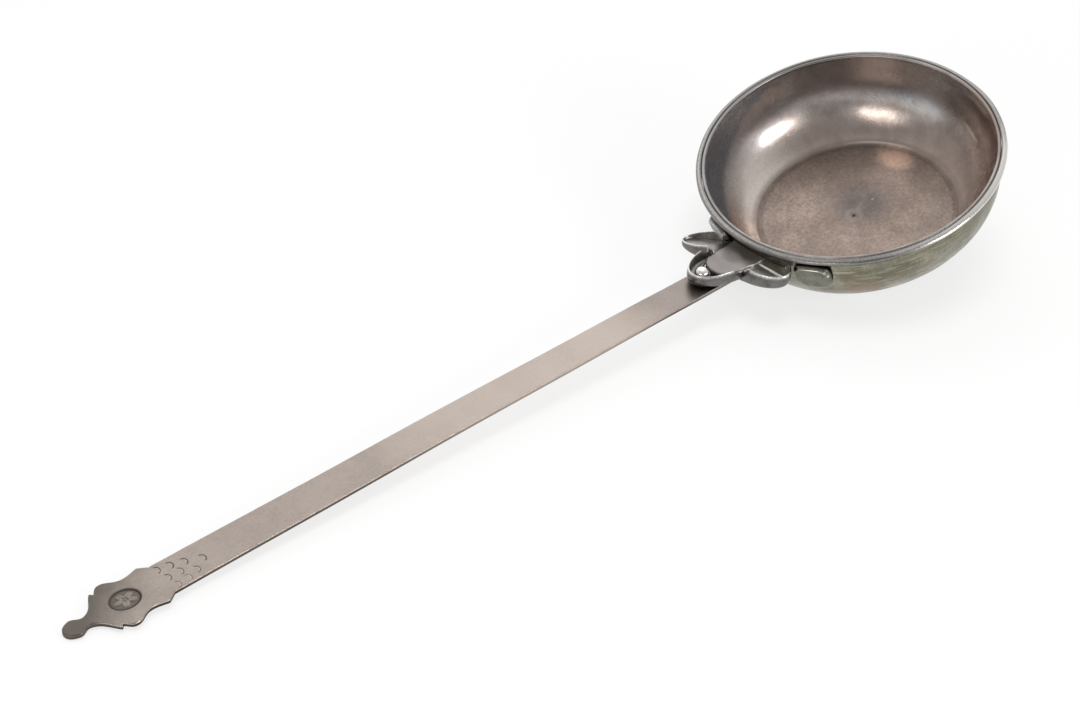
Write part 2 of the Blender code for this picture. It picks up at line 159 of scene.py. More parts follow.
class Rest:
    """Where the ladle lies: turns places of its own frames into places on the table."""

    def __init__(self, mounts: Sequence[dict]) -> None:
        """Read the base's place and tilt.

        Args:
            mounts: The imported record's mounts.
        """
        base = next(mount for mount in mounts if mount["name"] == "bowl_base")
        self.origin = np.array(base["pos_m"]) / METRES
        sine, _, cosine = base["axis"]
        self.axes = np.array([[-cosine, 0.0, sine], [0.0, 1.0, 0.0], [-sine, 0.0, -cosine]])

    def bowl(self, points: Array) -> Array:
        """Rows of the bowl's frame, on the table in metres."""
        return (self.origin + points @ self.axes) * METRES

    def handle(self, points: Array) -> Array:
        """Rows of the handle's frame, on the table in metres.

        Args:
            points: Rows of x, y, z in millimetres.

        Returns:
            Rows in metres.
        """
        cosine, sine = math.cos(HANDLE.rise), math.sin(HANDLE.rise)
        along = points[:, 0] * cosine - points[:, 2] * sine
        height = HANDLE.root_height + points[:, 0] * sine + points[:, 2] * cosine
        return self.bowl(np.stack([-BOWL.rim_radius - along, -points[:, 1], height], axis=1))


REST = Rest(frame["record"]["mounts"])


def ripple(points: Array, size: float, seed: int, waves: int = 14) -> Array:
    """Smooth unevenness of unit height, the same on every run.

    Args:
        points: Rows of x, y, z in millimetres.
        size: Length of its waves.
        seed: Which unevenness.
        waves: How many waves are added.

    Returns:
        One value for each point.
    """
    chance = np.random.default_rng(seed)
    total = np.zeros(len(points))
    for _ in range(waves):
        direction = chance.normal(size=3)
        direction *= TURN / (size * chance.uniform(0.7, 1.6) * np.linalg.norm(direction))
        total += np.sin(points @ direction + chance.uniform(0, TURN))
    return total / math.sqrt(waves)


def smooth(low: Number, high: Number, value: Number) -> Array:
    """Smooth step from 0 at low to 1 at high."""
    share = np.clip((np.asarray(value, float) - low) / (high - low), 0.0, 1.0)
    return share * share * (3 - 2 * share)


def bell(value: Number, middle: float, width: float) -> Array:
    """A bump of unit height around a middle."""
    return np.exp(-(((np.asarray(value, float) - middle) / width) ** 2))


def power(value: Array, exponent: Number) -> Array:
    """Raise the size of values to a power and keep their signs."""
    return np.sign(value) * np.abs(value) ** exponent


def polar(radius: Array, turned: Array, height: Array) -> Array:
    """Rows of x, y, z round an axis."""
    return np.stack([radius * np.cos(turned), radius * np.sin(turned), height], axis=1)


def spread(radius: Number, height: Number, worn: Number, deep: Number) -> Array:
    """Rows of a section: radius, height, wear and glint, and recess and shade."""
    return np.column_stack(np.broadcast_arrays(radius, height, worn, deep)).astype(float)


def revolve(section: Array, around: int) -> tuple[Array, ...]:
    """Direction, radius, height, wear and glint, recess and shade of the section all round its axis."""
    turned = np.repeat(np.arange(around) * TURN / around, len(section))
    return turned, *np.tile(section, (around, 1)).T


def grid_faces(rows: int, columns: int, close_rows: bool, close_columns: bool) -> list[tuple]:
    """Faces of a grid of points that are numbered row by row.

    Args:
        rows: Number of rows.
        columns: Points in a row.
        close_rows: Whether the last row joins the first.
        close_columns: Whether each row closes on itself.

    Returns:
        Four-sided faces.
    """
    faces = []
    for row in range(rows if close_rows else rows - 1):
        here, there = row * columns, (row + 1) % rows * columns
        for column in range(columns if close_columns else columns - 1):
            after = (column + 1) % columns
            faces.append((here + column, there + column, there + after, here + after))
    return faces


def taken(holder: bpy.types.Object) -> Shape:
    """Take an object's evaluated shape and remove the object.

    Args:
        holder: A curve, or a mesh with its modifier, that isn't in the scene yet.

    Returns:
        Its points and its faces.
    """
    bpy.context.scene.collection.objects.link(holder)
    shape = holder.evaluated_get(bpy.context.evaluated_depsgraph_get())
    mesh = bpy.data.meshes.new_from_object(shape)
    holder.modifiers.clear()
    bpy.data.objects.remove(holder)
    points = np.array([vert.co[:] for vert in mesh.vertices])
    faces = [tuple(face.vertices) for face in mesh.polygons]
    bpy.data.meshes.remove(mesh)
    return points, faces


@dataclass
class Sheet:
    """Points of a piece in its own frame, with what its finish needs to know.

    Attributes:
        points: Rows of x, y, z in millimetres.
        faces: Faces as point numbers.
        worn: How bright each point is made, from 0 to 1: real wear, and painted glints and
            highlights on the lip, the rim wire, the petals and the leaves.
        deep: How dark each point is made, from 0 to 1: real recesses such as punch marks, and
            painted shade on side faces, under the rim and wire, behind the bracket and on hidden faces.
        zones: Which of the piece's materials each face has, where it has more than one.
    """

    points: Array
    faces: list
    worn: Array
    deep: Array
    zones: Array | None = None

    def to_object(self, name: str, place: Callable[[Array], Array]) -> bpy.types.Object:
        """Make the piece, with its poles closed and its faces outwards.

        Args:
            name: Its name.
            place: Turns its own frame into places on the table.

        Returns:
            The object, at the origin.
        """
        mesh = bpy.data.meshes.new(name)
        mesh.from_pydata(place(self.points).tolist(), [], self.faces)
        local = mesh.attributes.new("local", "FLOAT_VECTOR", "POINT")
        local.data.foreach_set("vector", self.points.astype(np.float32).ravel())
        for label, values in (("worn", self.worn), ("deep", self.deep)):
            layer = mesh.attributes.new(label, "FLOAT", "POINT")
            layer.data.foreach_set("value", np.clip(values, 0, 1).astype(np.float32))
        if self.zones is not None:
            mesh.polygons.foreach_set("material_index", self.zones)
        work = bmesh.new()
        work.from_mesh(mesh)
        bmesh.ops.remove_doubles(work, verts=work.verts, dist=MERGE)
        bmesh.ops.recalc_face_normals(work, faces=work.faces)
        work.to_mesh(mesh)
        work.free()
        mesh.shade_smooth()
        piece = bpy.data.objects.new(name, mesh)
        bpy.context.scene.collection.objects.link(piece)
        return piece


class Value:
    """A node's output, which takes part in sums."""

    def __init__(self, nodes: "Nodes", socket: bpy.types.NodeSocket) -> None:
        """Wrap an output of one of the nodes."""
        self.nodes = nodes
        self.socket = socket

    def beside(self, output: int | str) -> "Value":
        """Another output of the same node."""
        return Value(self.nodes, self.socket.node.outputs[output])

    def maths(self, operation: str, first: object, second: object = 0.0) -> "Value":
        """Add a Math node."""
        return self.nodes.add("ShaderNodeMath", {0: first, 1: second}, operation=operation)

    def __add__(self, other: object) -> "Value":
        """Sum."""
        return self.maths("ADD", self, other)

    def __radd__(self, other: object) -> "Value":
        """Sum."""
        return self.maths("ADD", other, self)

    def __sub__(self, other: object) -> "Value":
        """Difference."""
        return self.maths("SUBTRACT", self, other)

    def __rsub__(self, other: object) -> "Value":
        """Difference."""
        return self.maths("SUBTRACT", other, self)

    def __mul__(self, other: object) -> "Value":
        """Product."""
        return self.maths("MULTIPLY", self, other)

    def __rmul__(self, other: object) -> "Value":
        """Product."""
        return self.maths("MULTIPLY", other, self)

    def __pow__(self, other: object) -> "Value":
        """Power."""
        return self.maths("POWER", self, other)

    def step(self, low: float, high: float) -> "Value":
        """Smooth step from 0 at low to 1 at high."""
        inputs = {"Value": self, "From Min": low, "From Max": high}
        return self.nodes.add("ShaderNodeMapRange", inputs, interpolation_type="SMOOTHSTEP")


Paint = Value | Colour
Layer = tuple[Value, Paint]


class Nodes:
    """A node tree in the making."""

    def __init__(self, tree: bpy.types.NodeTree) -> None:
        """Start on a tree."""
        self.tree = tree

    def add(self, kind: str, inputs: dict, output: int | str = 0, **settings: object) -> Value:
        """Add a node.

        Args:
            kind: Its type.
            inputs: Values or earlier results, by input name or number.
            output: Which output is wanted.
            settings: Its properties.

        Returns:
            That output.
        """
        node = self.tree.nodes.new(kind)
        for key, setting in settings.items():
            setattr(node, key, setting)
        for key, value in inputs.items():
            self.feed(node.inputs[key], value)
        return Value(self, node.outputs[output])

    def feed(self, socket: bpy.types.NodeSocket, value: object) -> None:
        """Link or set an input.

        Args:
            socket: The input.
            value: A result, or a plain value.
        """
        if isinstance(value, Value):
            self.tree.links.new(value.socket, socket)
        else:
            socket.default_value = value


class Graph(Nodes):
    """The nodes of one material or of the room's light."""

    def __init__(self, owner: Material | bpy.types.World) -> None:
        """Start on the owner's node tree.

        Args:
            owner: The material or the world.
        """
        owner.use_nodes = True
        super().__init__(owner.node_tree)
        self.owner = owner

    @property
    def shader(self) -> bpy.types.Node:
        """The material's Principled node."""
        return self.tree.nodes["Principled BSDF"]

    def dress(self, inputs: dict[str, object]) -> None:
        """Link or set inputs of the material's shader."""
        for name, value in inputs.items():
            self.feed(self.shader.inputs[name], value)

    def attribute(self, name: str, output: str = "Fac") -> Value:
        """Read what the mesh stores."""
        return self.add("ShaderNodeAttribute", {}, output, attribute_name=name)

    def axes(self, place: Value) -> tuple[Value, Value, Value]:
        """The x, y and z of a place."""
        x = self.add("ShaderNodeSeparateXYZ", {0: place})
        return x, x.beside(1), x.beside(2)

    def stretched(self, place: Value, scale: Sequence[float]) -> Value:
        """Scale a place by axis."""
        return self.add("ShaderNodeVectorMath", {0: place, 1: scale}, operation="MULTIPLY")

    def noise(self, place: Value, scale: float, detail: float = 3.0) -> Value:
        """Cloudy noise around 0.5, with its scale in clouds to the millimetre."""
        inputs = {"Vector": place, "Scale": scale, "Detail": detail, "Roughness": 0.6}
        return self.add("ShaderNodeTexNoise", inputs)

    def blend(self, share: Value, first: Paint, second: Paint) -> Value:
        """Mix two colours, with that share of the second.

        Args:
            share: How much of the second.
            first: The first colour.
            second: The second colour.

        Returns:
            The mixed colour.
        """
        inputs: dict[int, object] = {0: share}
        for key, colour in ((6, first), (7, second)):
            inputs[key] = colour if isinstance(colour, Value) else (*colour, 1.0)
        return self.add("ShaderNodeMix", inputs, 2, data_type="RGBA")

    def layered(self, body: Value, *layers: Layer) -> Value:
        """Lay colours one over the other.

        Args:
            body: The colour below them.
            layers: The share and the colour of each, from below.

        Returns:
            The colour on top.
        """
        for share, colour in layers:
            body = self.blend(share, body, colour)
        return body

    def bump(self, height: Value, depth: float, **below: Value) -> Value:
        """Turn a height from 0 to 1 into relief of a depth in millimetres, over the Normal below."""
        inputs = {"Height": height, "Distance": depth * METRES, "Strength": 1.0, **below}
        return self.add("ShaderNodeBump", inputs)


@dataclass
class Coat:
    """A finish in the making.

    Attributes:
        graph: The material's nodes.
        place: Where on the piece, in millimetres.
        body: Its colour so far.
        roughness: Its roughness so far.
        relief: Its normal.
    """

    graph: Graph
    place: Value
    body: Value
    roughness: Value
    relief: Value

    def noise(self, scale: float, detail: float = 3.0, stretch: Sequence[float] | None = None) -> Value:
        """Cloudy noise over the piece, which factors by axis may draw out."""
        place = self.graph.stretched(self.place, stretch) if stretch else self.place
        return self.graph.noise(place, scale, detail)

    def lay(self, *layers: Layer) -> None:
        """Lay colours over the finish, each by its share."""
        self.body = self.graph.layered(self.body, *layers)

    def material(self) -> Material:
        """Join the layers to the material's shader.

        Returns:
            The material.
        """
        inputs = {"Base Color": self.body, "Roughness": self.roughness, "Normal": self.relief}
        self.graph.dress({"Metallic": 1.0, **inputs})
        return self.graph.owner


@dataclass(frozen=True)
class Silver:
    """A finish of aged silver.

    Attributes:
        name: The material's name.
        clean: Colour where it is kept clean.
        tarnish: Colour of the film on it.
        bright: Colour where it is polished by wear, also laid as painted glints.
        hollow: Colour of specks and real recesses, also laid as painted shade.
        film: Share of the surface under the film.
        cloud: Size of the film's clouds, in millimetres.
        smooth: Roughness where it is polished by wear.
        dull: Roughness under the film.
        grain: Factors that draw the scratches out along an axis.
        scratch: Depth of the scratches, in millimetres.
        dent: Depth of the planished unevenness, in millimetres.
        streak: Strength of the pale scratches.
        speck: Strength of the dark specks.
        speck_scale: Specks to the millimetre.
        line_scale: Scratches to the millimetre.
        fine_scale: Fine scratches to the millimetre.
        dent_scale: Dents to the millimetre.
    """

    name: str
    clean: Colour
    tarnish: Colour
    bright: Colour
    hollow: Colour
    film: float = 0.5
    cloud: float = 9.0
    smooth: float = 0.22
    dull: float = 0.42
    grain: tuple[float, float, float] = (1.0, 1.0, 1.0)
    scratch: float = 0.004
    dent: float = 0.02
    streak: float = 0.5
    speck: float = 0.8
    speck_scale: float = 1.7
    line_scale: float = 3.2
    fine_scale: float = 11.0
    dent_scale: float = 0.32

    def make(self) -> Coat:
        """Build the finish.

        Returns:
            The finish, for further layers.
        """
        graph = Graph(bpy.data.materials.new(self.name))
        place = graph.attribute("local", "Vector")
        worn, deep = graph.attribute("worn"), graph.attribute("deep")
        drawn = graph.stretched(place, self.grain)
        clouds = graph.noise(place, 1 / self.cloud, 4.0)
        specks = graph.noise(place, self.speck_scale, 4.0)
        lines = graph.noise(drawn, self.line_scale, 5.0)
        fine = graph.noise(drawn, self.fine_scale, 2.0)
        film = (clouds + (specks - 0.5) * 0.3).step(0.60 - self.film * 0.6, 1.00 - self.film * 0.4)
        rubbed = (worn * (0.5 + 0.9 * clouds) + (specks - 0.6) * 0.6).step(0.15, 0.75)
        # Darkest colour: specks, recesses and painted shade. Bright: wear and painted glints.
        body = graph.layered(
            graph.blend(film, self.clean, self.tarnish),
            ((lines - 0.52) * self.streak, self.bright),
            ((specks - 0.5) * self.speck, self.hollow),
            (rubbed, self.bright),
            (deep.step(0.05, 0.95), self.hollow),
        )
        dulled = film * (self.dull - self.smooth) + self.smooth + (fine - 0.5) * 0.16
        roughness = dulled - rubbed * 0.08 + deep * 0.14
        scratches = graph.bump(lines * 0.7 + fine * 0.3, self.scratch)
        relief = graph.bump(graph.noise(place, self.dent_scale, 2.0), self.dent, Normal=scratches)
        return Coat(graph, place, body, roughness, relief)

    def material(self) -> Material:
        """The finish as it is."""
        return self.make().material()


INSIDE = Silver(
    "aged_silver_inside", (0.66, 0.62, 0.60), (0.52, 0.485, 0.465), (0.74, 0.70, 0.67),
    (0.20, 0.18, 0.17), film=0.5, cloud=17.0, smooth=0.23, dull=0.33, scratch=0.003, dent=0.03,
    streak=0.25, speck=0.35,
)
OUTSIDE = Silver(
    "aged_silver_outside", (0.31, 0.295, 0.235), (0.15, 0.14, 0.095), (0.52, 0.50, 0.43),
    (0.06, 0.055, 0.045), film=0.55, cloud=7.0, smooth=0.22, dull=0.38, grain=(0.45, 0.45, 2.4),
    scratch=0.006, dent=0.05, streak=1.3, speck=1.2,
)
# The wire's bright colour also lays its painted highlight on the near side.
WIRE = Silver(
    "worn_silver_wire", (0.31, 0.298, 0.285), (0.20, 0.188, 0.176), (0.80, 0.77, 0.735),
    (0.06, 0.055, 0.05), film=0.5, cloud=6.0, smooth=0.22, dull=0.38,
)
STRAP = Silver(
    "satin_silver_strap", (0.46, 0.395, 0.35), (0.38, 0.325, 0.29), (0.60, 0.54, 0.50),
    (0.06, 0.05, 0.043), film=0.5, cloud=24.0, smooth=0.30, dull=0.42, grain=(0.13, 2.0, 1.0),
    scratch=0.003, dent=0.015, streak=1.8, speck=0.65,
)
BURR = Silver(
    "rubbed_silver_burr", (0.97, 0.96, 0.95), (0.95, 0.94, 0.93), (0.98, 0.97, 0.96),
    (0.50, 0.47, 0.45), film=0.3, smooth=0.62, dull=0.72, scratch=0.001, dent=0.0, streak=0.2, speck=0.1,
)
TONGUE = Silver(
    "satin_silver_tongue", (0.82, 0.765, 0.735), (0.66, 0.61, 0.585), (0.90, 0.87, 0.85),
    (0.30, 0.28, 0.27), film=0.5, cloud=6.0, smooth=0.34, dull=0.46, grain=(0.5, 1.4, 1.0),
)
PETAL = Silver(
    "dark_silver_petals", (0.19, 0.182, 0.176), (0.10, 0.095, 0.092), (0.86, 0.83, 0.81),
    (0.035, 0.032, 0.03), film=0.5, cloud=3.2, smooth=0.22, dull=0.36, speck=0.5,
)
DISH = Silver(
    "dull_silver_dishes", (0.45, 0.432, 0.412), (0.24, 0.232, 0.22), (0.86, 0.83, 0.80),
    (0.07, 0.065, 0.06), film=0.45, cloud=2.8, smooth=0.30, dull=0.44, speck=0.8,
)
# A lighter copy of the dish finish, as painted light on the right petal's dish.
LIT_DISH = replace(
    DISH, name="pale_silver_dish", clean=(0.82, 0.79, 0.755), tarnish=(0.50, 0.48, 0.46),
    hollow=(0.16, 0.15, 0.14),
)
WING = Silver(
    "dark_silver_wings", (0.215, 0.21, 0.172), (0.115, 0.115, 0.085), (0.70, 0.68, 0.63),
    (0.06, 0.055, 0.045), film=0.5, cloud=3.5, smooth=0.20, dull=0.34,
)
RIVET = Silver(
    "polished_silver_rivet", (0.92, 0.89, 0.87), (0.72, 0.68, 0.66), (0.97, 0.96, 0.94),
    (0.20, 0.18, 0.17), film=0.3, cloud=1.6, smooth=0.16, dull=0.26, dent=0.10, speck=0.2,
)


@dataclass
class InsideFilmAndReflections:
    """Inside the bowl: a used brown floor, small marks, and a wall with painted reflections."""

    coat: Coat
    floor_top: tuple[float, float] = (1.12, 1.5)
    lip: float = BOWL.height - 1.5
    edge: float = BOWL.base_radius

    def __post_init__(self) -> None:
        """Work out what the marks share."""
        graph, coat = self.coat.graph, self.coat
        self.x, self.y, self.z = graph.axes(coat.place)
        self.cloud = coat.noise(0.13, 4.0)
        self.mottle = coat.noise(0.85, 4.0)
        self.smudge = coat.noise(0.22, 5.0)
        self.radius = self.away(0.0, 0.0)
        self.rings = graph.noise(graph.add("ShaderNodeCombineXYZ", {0: self.radius}), 0.9, 4.0)
        self.floor = 1.0 - self.z.step(*self.floor_top)
        self.wall = 1.0 - self.floor

    def away(self, at_x: float, at_y: float) -> Value:
        """Level distance from a place."""
        return ((self.x - at_x) ** 2.0 + (self.y - at_y) ** 2.0) ** 0.5

    def spot(self, at_x: float, at_y: float, size: float) -> Value:
        """Share of a soft spot at a place, from 0 to 1."""
        ragged = self.away(at_x, at_y) + (self.cloud - 0.5) * size
        return 1.0 - ragged.step(size * 0.2, size * 1.1)

    def brown(self) -> Value:
        """The floor's brown film.

        Returns:
            Its colour, with its clouds, rings and dark smudge.
        """
        grain = self.coat.noise(1.3, 3.0)
        pale_side = self.spot(-12.0, 19.0, 17.0)
        dark_middle = self.spot(4.0, 1.5, 12.0) * (0.68 + self.smudge.step(0.3, 0.7) * 0.5)
        dull_side = self.spot(12.0, 14.0, 14.0)
        return self.coat.graph.layered(
            self.coat.graph.blend(self.cloud.step(0.3, 0.7), (0.47, 0.36, 0.30), (0.35, 0.27, 0.225)),
            (pale_side * 0.6, (0.62, 0.475, 0.395)),
            (self.mottle.step(0.44, 0.70) * 0.38, (0.26, 0.205, 0.175)),
            (0.6 - self.mottle.step(0.26, 0.48) * 0.6, (0.54, 0.43, 0.36)),
            ((grain - 0.42) * 2.4, (0.22, 0.175, 0.15)),
            ((self.rings - 0.45) * 0.9, (0.27, 0.225, 0.20)),
            (dark_middle * 0.8, (0.15, 0.135, 0.13)),
            (dull_side * 0.15, (0.20, 0.15, 0.13)),
        )

    def tint_wall(self) -> None:
        """Lay the wall's tones: brown below, dark far side, painted reflections and highlights."""
        x, y, z = self.x, self.y, self.z
        below_lip = 1.0 - z.step(self.lip, self.lip + 0.6)
        low = (1.0 - z.step(3.0, 14.0)) * self.wall
        smudged = self.smudge.step(0.42, 0.66) * self.wall
        # Painted reflection: a bluish band up the wall.
        cool_reflection = z.step(9.0, 17.0) - z.step(self.lip, self.lip + 0.6)
        # Painted reflection: a pale patch at the left, bluish at its top.
        left = y.step(18.0, 31.0) * (1.0 - x.step(-6.0, 14.0)) * self.wall
        # Painted highlight: a pinkish patch near the bracket.
        warm_highlight = self.spot(-27.0, 20.0, 9.0) * self.wall
        # Painted reflection: a blue-grey band under the lip at the left.
        slate_reflection = (z - x * 0.42 + (self.cloud - 0.5) * 3.0).step(17.6, 20.2) * y.step(4.0, 14.0) * below_lip
        # Painted darker: the lip at the left, to damp the lamp's reflection.
        lip_painted_darker = z.step(self.lip + 0.2, self.lip + 0.8) * y.step(-8.0, 18.0)
        brown_right = self.spot(32.0, -20.0, 30.0) * self.wall
        dark_far = self.spot(34.0, 24.0, 22.0) * z.step(9.0, 16.0)
        self.coat.lay(
            (low * 0.8, (0.50, 0.395, 0.345)),
            (smudged * 0.5, (0.38, 0.30, 0.265)),
            (cool_reflection * 0.55, (0.68, 0.70, 0.73)),
            (left * (0.5 + self.mottle * 0.8), (0.80, 0.72, 0.67)),
            (left * z.step(6.0, 12.0) * 0.8, (0.78, 0.83, 0.90)),
            (warm_highlight * 0.8, (0.85, 0.68, 0.58)),
            (slate_reflection * 0.85, (0.45, 0.54, 0.63)),
            (lip_painted_darker * 0.8, (0.30, 0.29, 0.28)),
            (brown_right * 0.75, (0.30, 0.23, 0.195)),
            (dark_far * 0.75, (0.36, 0.32, 0.305)),
        )

    def mark(self) -> None:
        """Lay the dark crease, the centre punch, the rosy stain and painted highlights on the far side."""
        x, y, z, graph = self.x, self.y, self.z, self.coat.graph
        radius, edge = self.radius, self.edge
        crease = radius.step(edge - 1.9, edge + 0.1) * (1.0 - z.step(1.25, 2.3))
        # Painted highlight: a pale line along the crease's far bend.
        bend = radius.step(edge, edge + 0.4) - radius.step(edge + 0.6, edge + 1.2)
        bend = bend * x.step(4.0, 18.0) * (y.step(2.0, 9.0) - y.step(16.0, 26.0))
        punched = self.away(*BOWL.centre_punch)
        halo = (punched.step(1.0, 1.9) - punched.step(2.1, 3.4)) * self.floor
        pitted = graph.attribute("deep").step(0.3, 0.9) * self.floor
        nicked = graph.attribute("worn").step(0.35, 0.75) * self.floor
        rose = (x - 24.2) ** 2.0 * 0.022 + (y - 6.8) ** 2.0 * 0.010 + (self.smudge + self.mottle) * 0.5
        # Painted highlights: a faint pale patch on the far wall and a pale streak on the right wall.
        pale_far_highlight = self.spot(39.0, 6.5, 8.0) * z.step(6.0, 8.0)
        streak_highlight = (y + 12.0) ** 2.0 * 0.05 + (z - 13.7 - y * 0.21) ** 2.0 * 1.6 + (self.mottle - 0.5)
        streak_highlight = (1.0 - streak_highlight.step(0.1, 1.0)) * x.step(20.0, 30.0)
        self.coat.lay(
            (crease * (0.35 + self.cloud * 0.6), (0.17, 0.135, 0.115)),
            (bend * (0.1 + self.cloud * 0.6), (0.90, 0.77, 0.68)),
            (halo * 0.28, (0.48, 0.41, 0.36)),
            (pitted, (0.08, 0.07, 0.065)),
            (nicked, (0.85, 0.78, 0.72)),
            (1.0 - rose.step(0.35, 1.15), (1.0, 0.70, 0.55)),
            (pale_far_highlight * 0.35, (0.85, 0.78, 0.72)),
            (streak_highlight * 0.6, (0.95, 0.85, 0.72)),
        )

    def material(self) -> Material:
        """Lay everything on the finish.

        Returns:
            The material.
        """
        self.coat.lay((self.floor * 0.94, self.brown()))
        self.tint_wall()
        self.mark()
        self.coat.roughness = self.coat.roughness + self.floor * (0.12 + (self.rings - 0.5) * 0.1)
        return self.coat.material()


def streaked_outside() -> Material:
    """The outer wall's finish, with its brown patches, its level streaks and painted shade under the rim.

    Returns:
        The material.
    """
    coat = OUTSIDE.make()
    x, y, z = coat.graph.axes(coat.place)
    streaks = coat.noise(0.55, 5.0, (0.25, 0.25, 2.6))
    hatch = coat.noise(1.1, 4.0, (1.6, 1.6, 0.35))
    broad = coat.noise(0.075, 3.0).step(0.36, 0.62)
    patches = coat.noise(0.16, 3.0).step(0.52, 0.72)
    stain_away = ((x + 29.0) ** 2.0 + (y + 29.0) ** 2.0 + (z - 10.0) ** 2.0) ** 0.5
    stain = 1.0 - (stain_away + streaks * 6.0).step(4.0, 12.0)
    coat.lay(
        (broad * 0.45, (0.14, 0.135, 0.09)),
        (streaks.step(0.46, 0.68) * (0.25 + broad * 0.6), (0.45, 0.44, 0.345)),
        (hatch.step(0.5, 0.72) * (0.40 - broad * 0.3), (0.11, 0.105, 0.07)),
        ((1.0 - hatch.step(0.28, 0.42)) * (0.3 - broad * 0.2), (0.52, 0.51, 0.41)),
        (patches * 0.7, (0.25, 0.18, 0.12)),
        (x.step(-18.0, 12.0) * 0.4, (0.16, 0.155, 0.125)),
        (stain * 0.75, (0.27, 0.175, 0.115)),
        # Painted shade under the rim and wire and behind the bracket.
        (coat.graph.attribute("deep").step(0.3, 1.0), (0.045, 0.04, 0.036)),
    )
    return coat.material()


class Recipe(Nodes):
    """A Geometry Nodes tree with named inputs."""

    def __init__(self, name: str) -> None:
        """Start an empty tree.

        Args:
            name: Its name.
        """
        super().__init__(bpy.data.node_groups.new(name, "GeometryNodeTree"))
        self.tree.is_modifier = True
        for side in ("INPUT", "OUTPUT"):
            self.tree.interface.new_socket("Geometry", in_out=side, socket_type="NodeSocketGeometry")
        self.entry = self.tree.nodes.new("NodeGroupInput")
        self.values: dict[str, object] = {}

    def base(self) -> Value:
        """The geometry that the tree starts from."""
        return Value(self, self.entry.outputs["Geometry"])

    def given(self, name: str, kind: str, value: object) -> Value:
        """Declare a named input.

        Args:
            name: Its name.
            kind: Its socket type.
            value: What the modifier gives it.

        Returns:
            The input's value in the tree.
        """
        socket = self.tree.interface.new_socket(name, in_out="INPUT", socket_type=kind)
        self.values[socket.identifier] = value
        return Value(self, self.entry.outputs[name])

    def run(self, made: Value, base: bpy.types.Mesh, finish: Material) -> Shape:
        """Close the tree and turn its result into a plain mesh.

        Args:
            made: What the tree made.
            base: The mesh that it starts from.
            finish: The material that it sets.

        Returns:
            Points in the base's own frame, and faces.
        """
        material = self.given("Finish", "NodeSocketMaterial", finish)
        made = self.add("GeometryNodeRealizeInstances", {0: made})
        made = self.add("GeometryNodeSetMaterial", {0: made, "Material": material})
        self.feed(self.tree.nodes.new("NodeGroupOutput").inputs[0], made)
        holder = bpy.data.objects.new(base.name, base)
        modifier = holder.modifiers.new(self.tree.name, "NODES")
        modifier.node_group = self.tree
        for identifier, value in self.values.items():
            modifier[identifier] = value
        return taken(holder)


@dataclass(kw_only=True)
class Piece:
    """A piece made in the handle's frame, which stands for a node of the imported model."""

    node: str
    slot: Slot
    finish: Silver
    materials: list[Material] = field(default_factory=list)

    @property
    def name(self) -> str:
        """The piece's own name."""
        return f"{self.node}_look"

    def place(self, points: Array) -> Array:
        """Put places of the handle's frame on the table."""
        return REST.handle(points)

    def sheet(self) -> Sheet:
        """Shape of the piece in its own frame."""
        raise NotImplementedError

    def finishes(self) -> list[Material]:
        """Materials of the piece, in the order of its zones."""
        return [self.finish.material()]

    def add(self) -> None:
        """Make the piece, dress it, fix it to the model and report it."""
        self.materials = self.finishes()
        piece = self.sheet().to_object(self.name, self.place)
        for material in self.materials:
            piece.data.materials.append(material)
        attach(piece, "root")
        if self.node:
            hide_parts(self.node)
        LOG.info("%s: %d faces", piece.name, len(piece.data.polygons))


@dataclass
class BowlPiece(Piece):
    """A piece made in the bowl's frame."""

    def place(self, points: Array) -> Array:
        """Put places of the bowl's frame on the table."""
        return REST.bowl(points)


def out_of_round(angle: Array) -> Array:
    """How far the raised wall falls short of a true circle at its rim, never above zero."""
    return -0.08 * (1 + np.sin(2 * angle + 0.7)) - 0.04 * (1 + np.sin(3 * angle + 2.1))


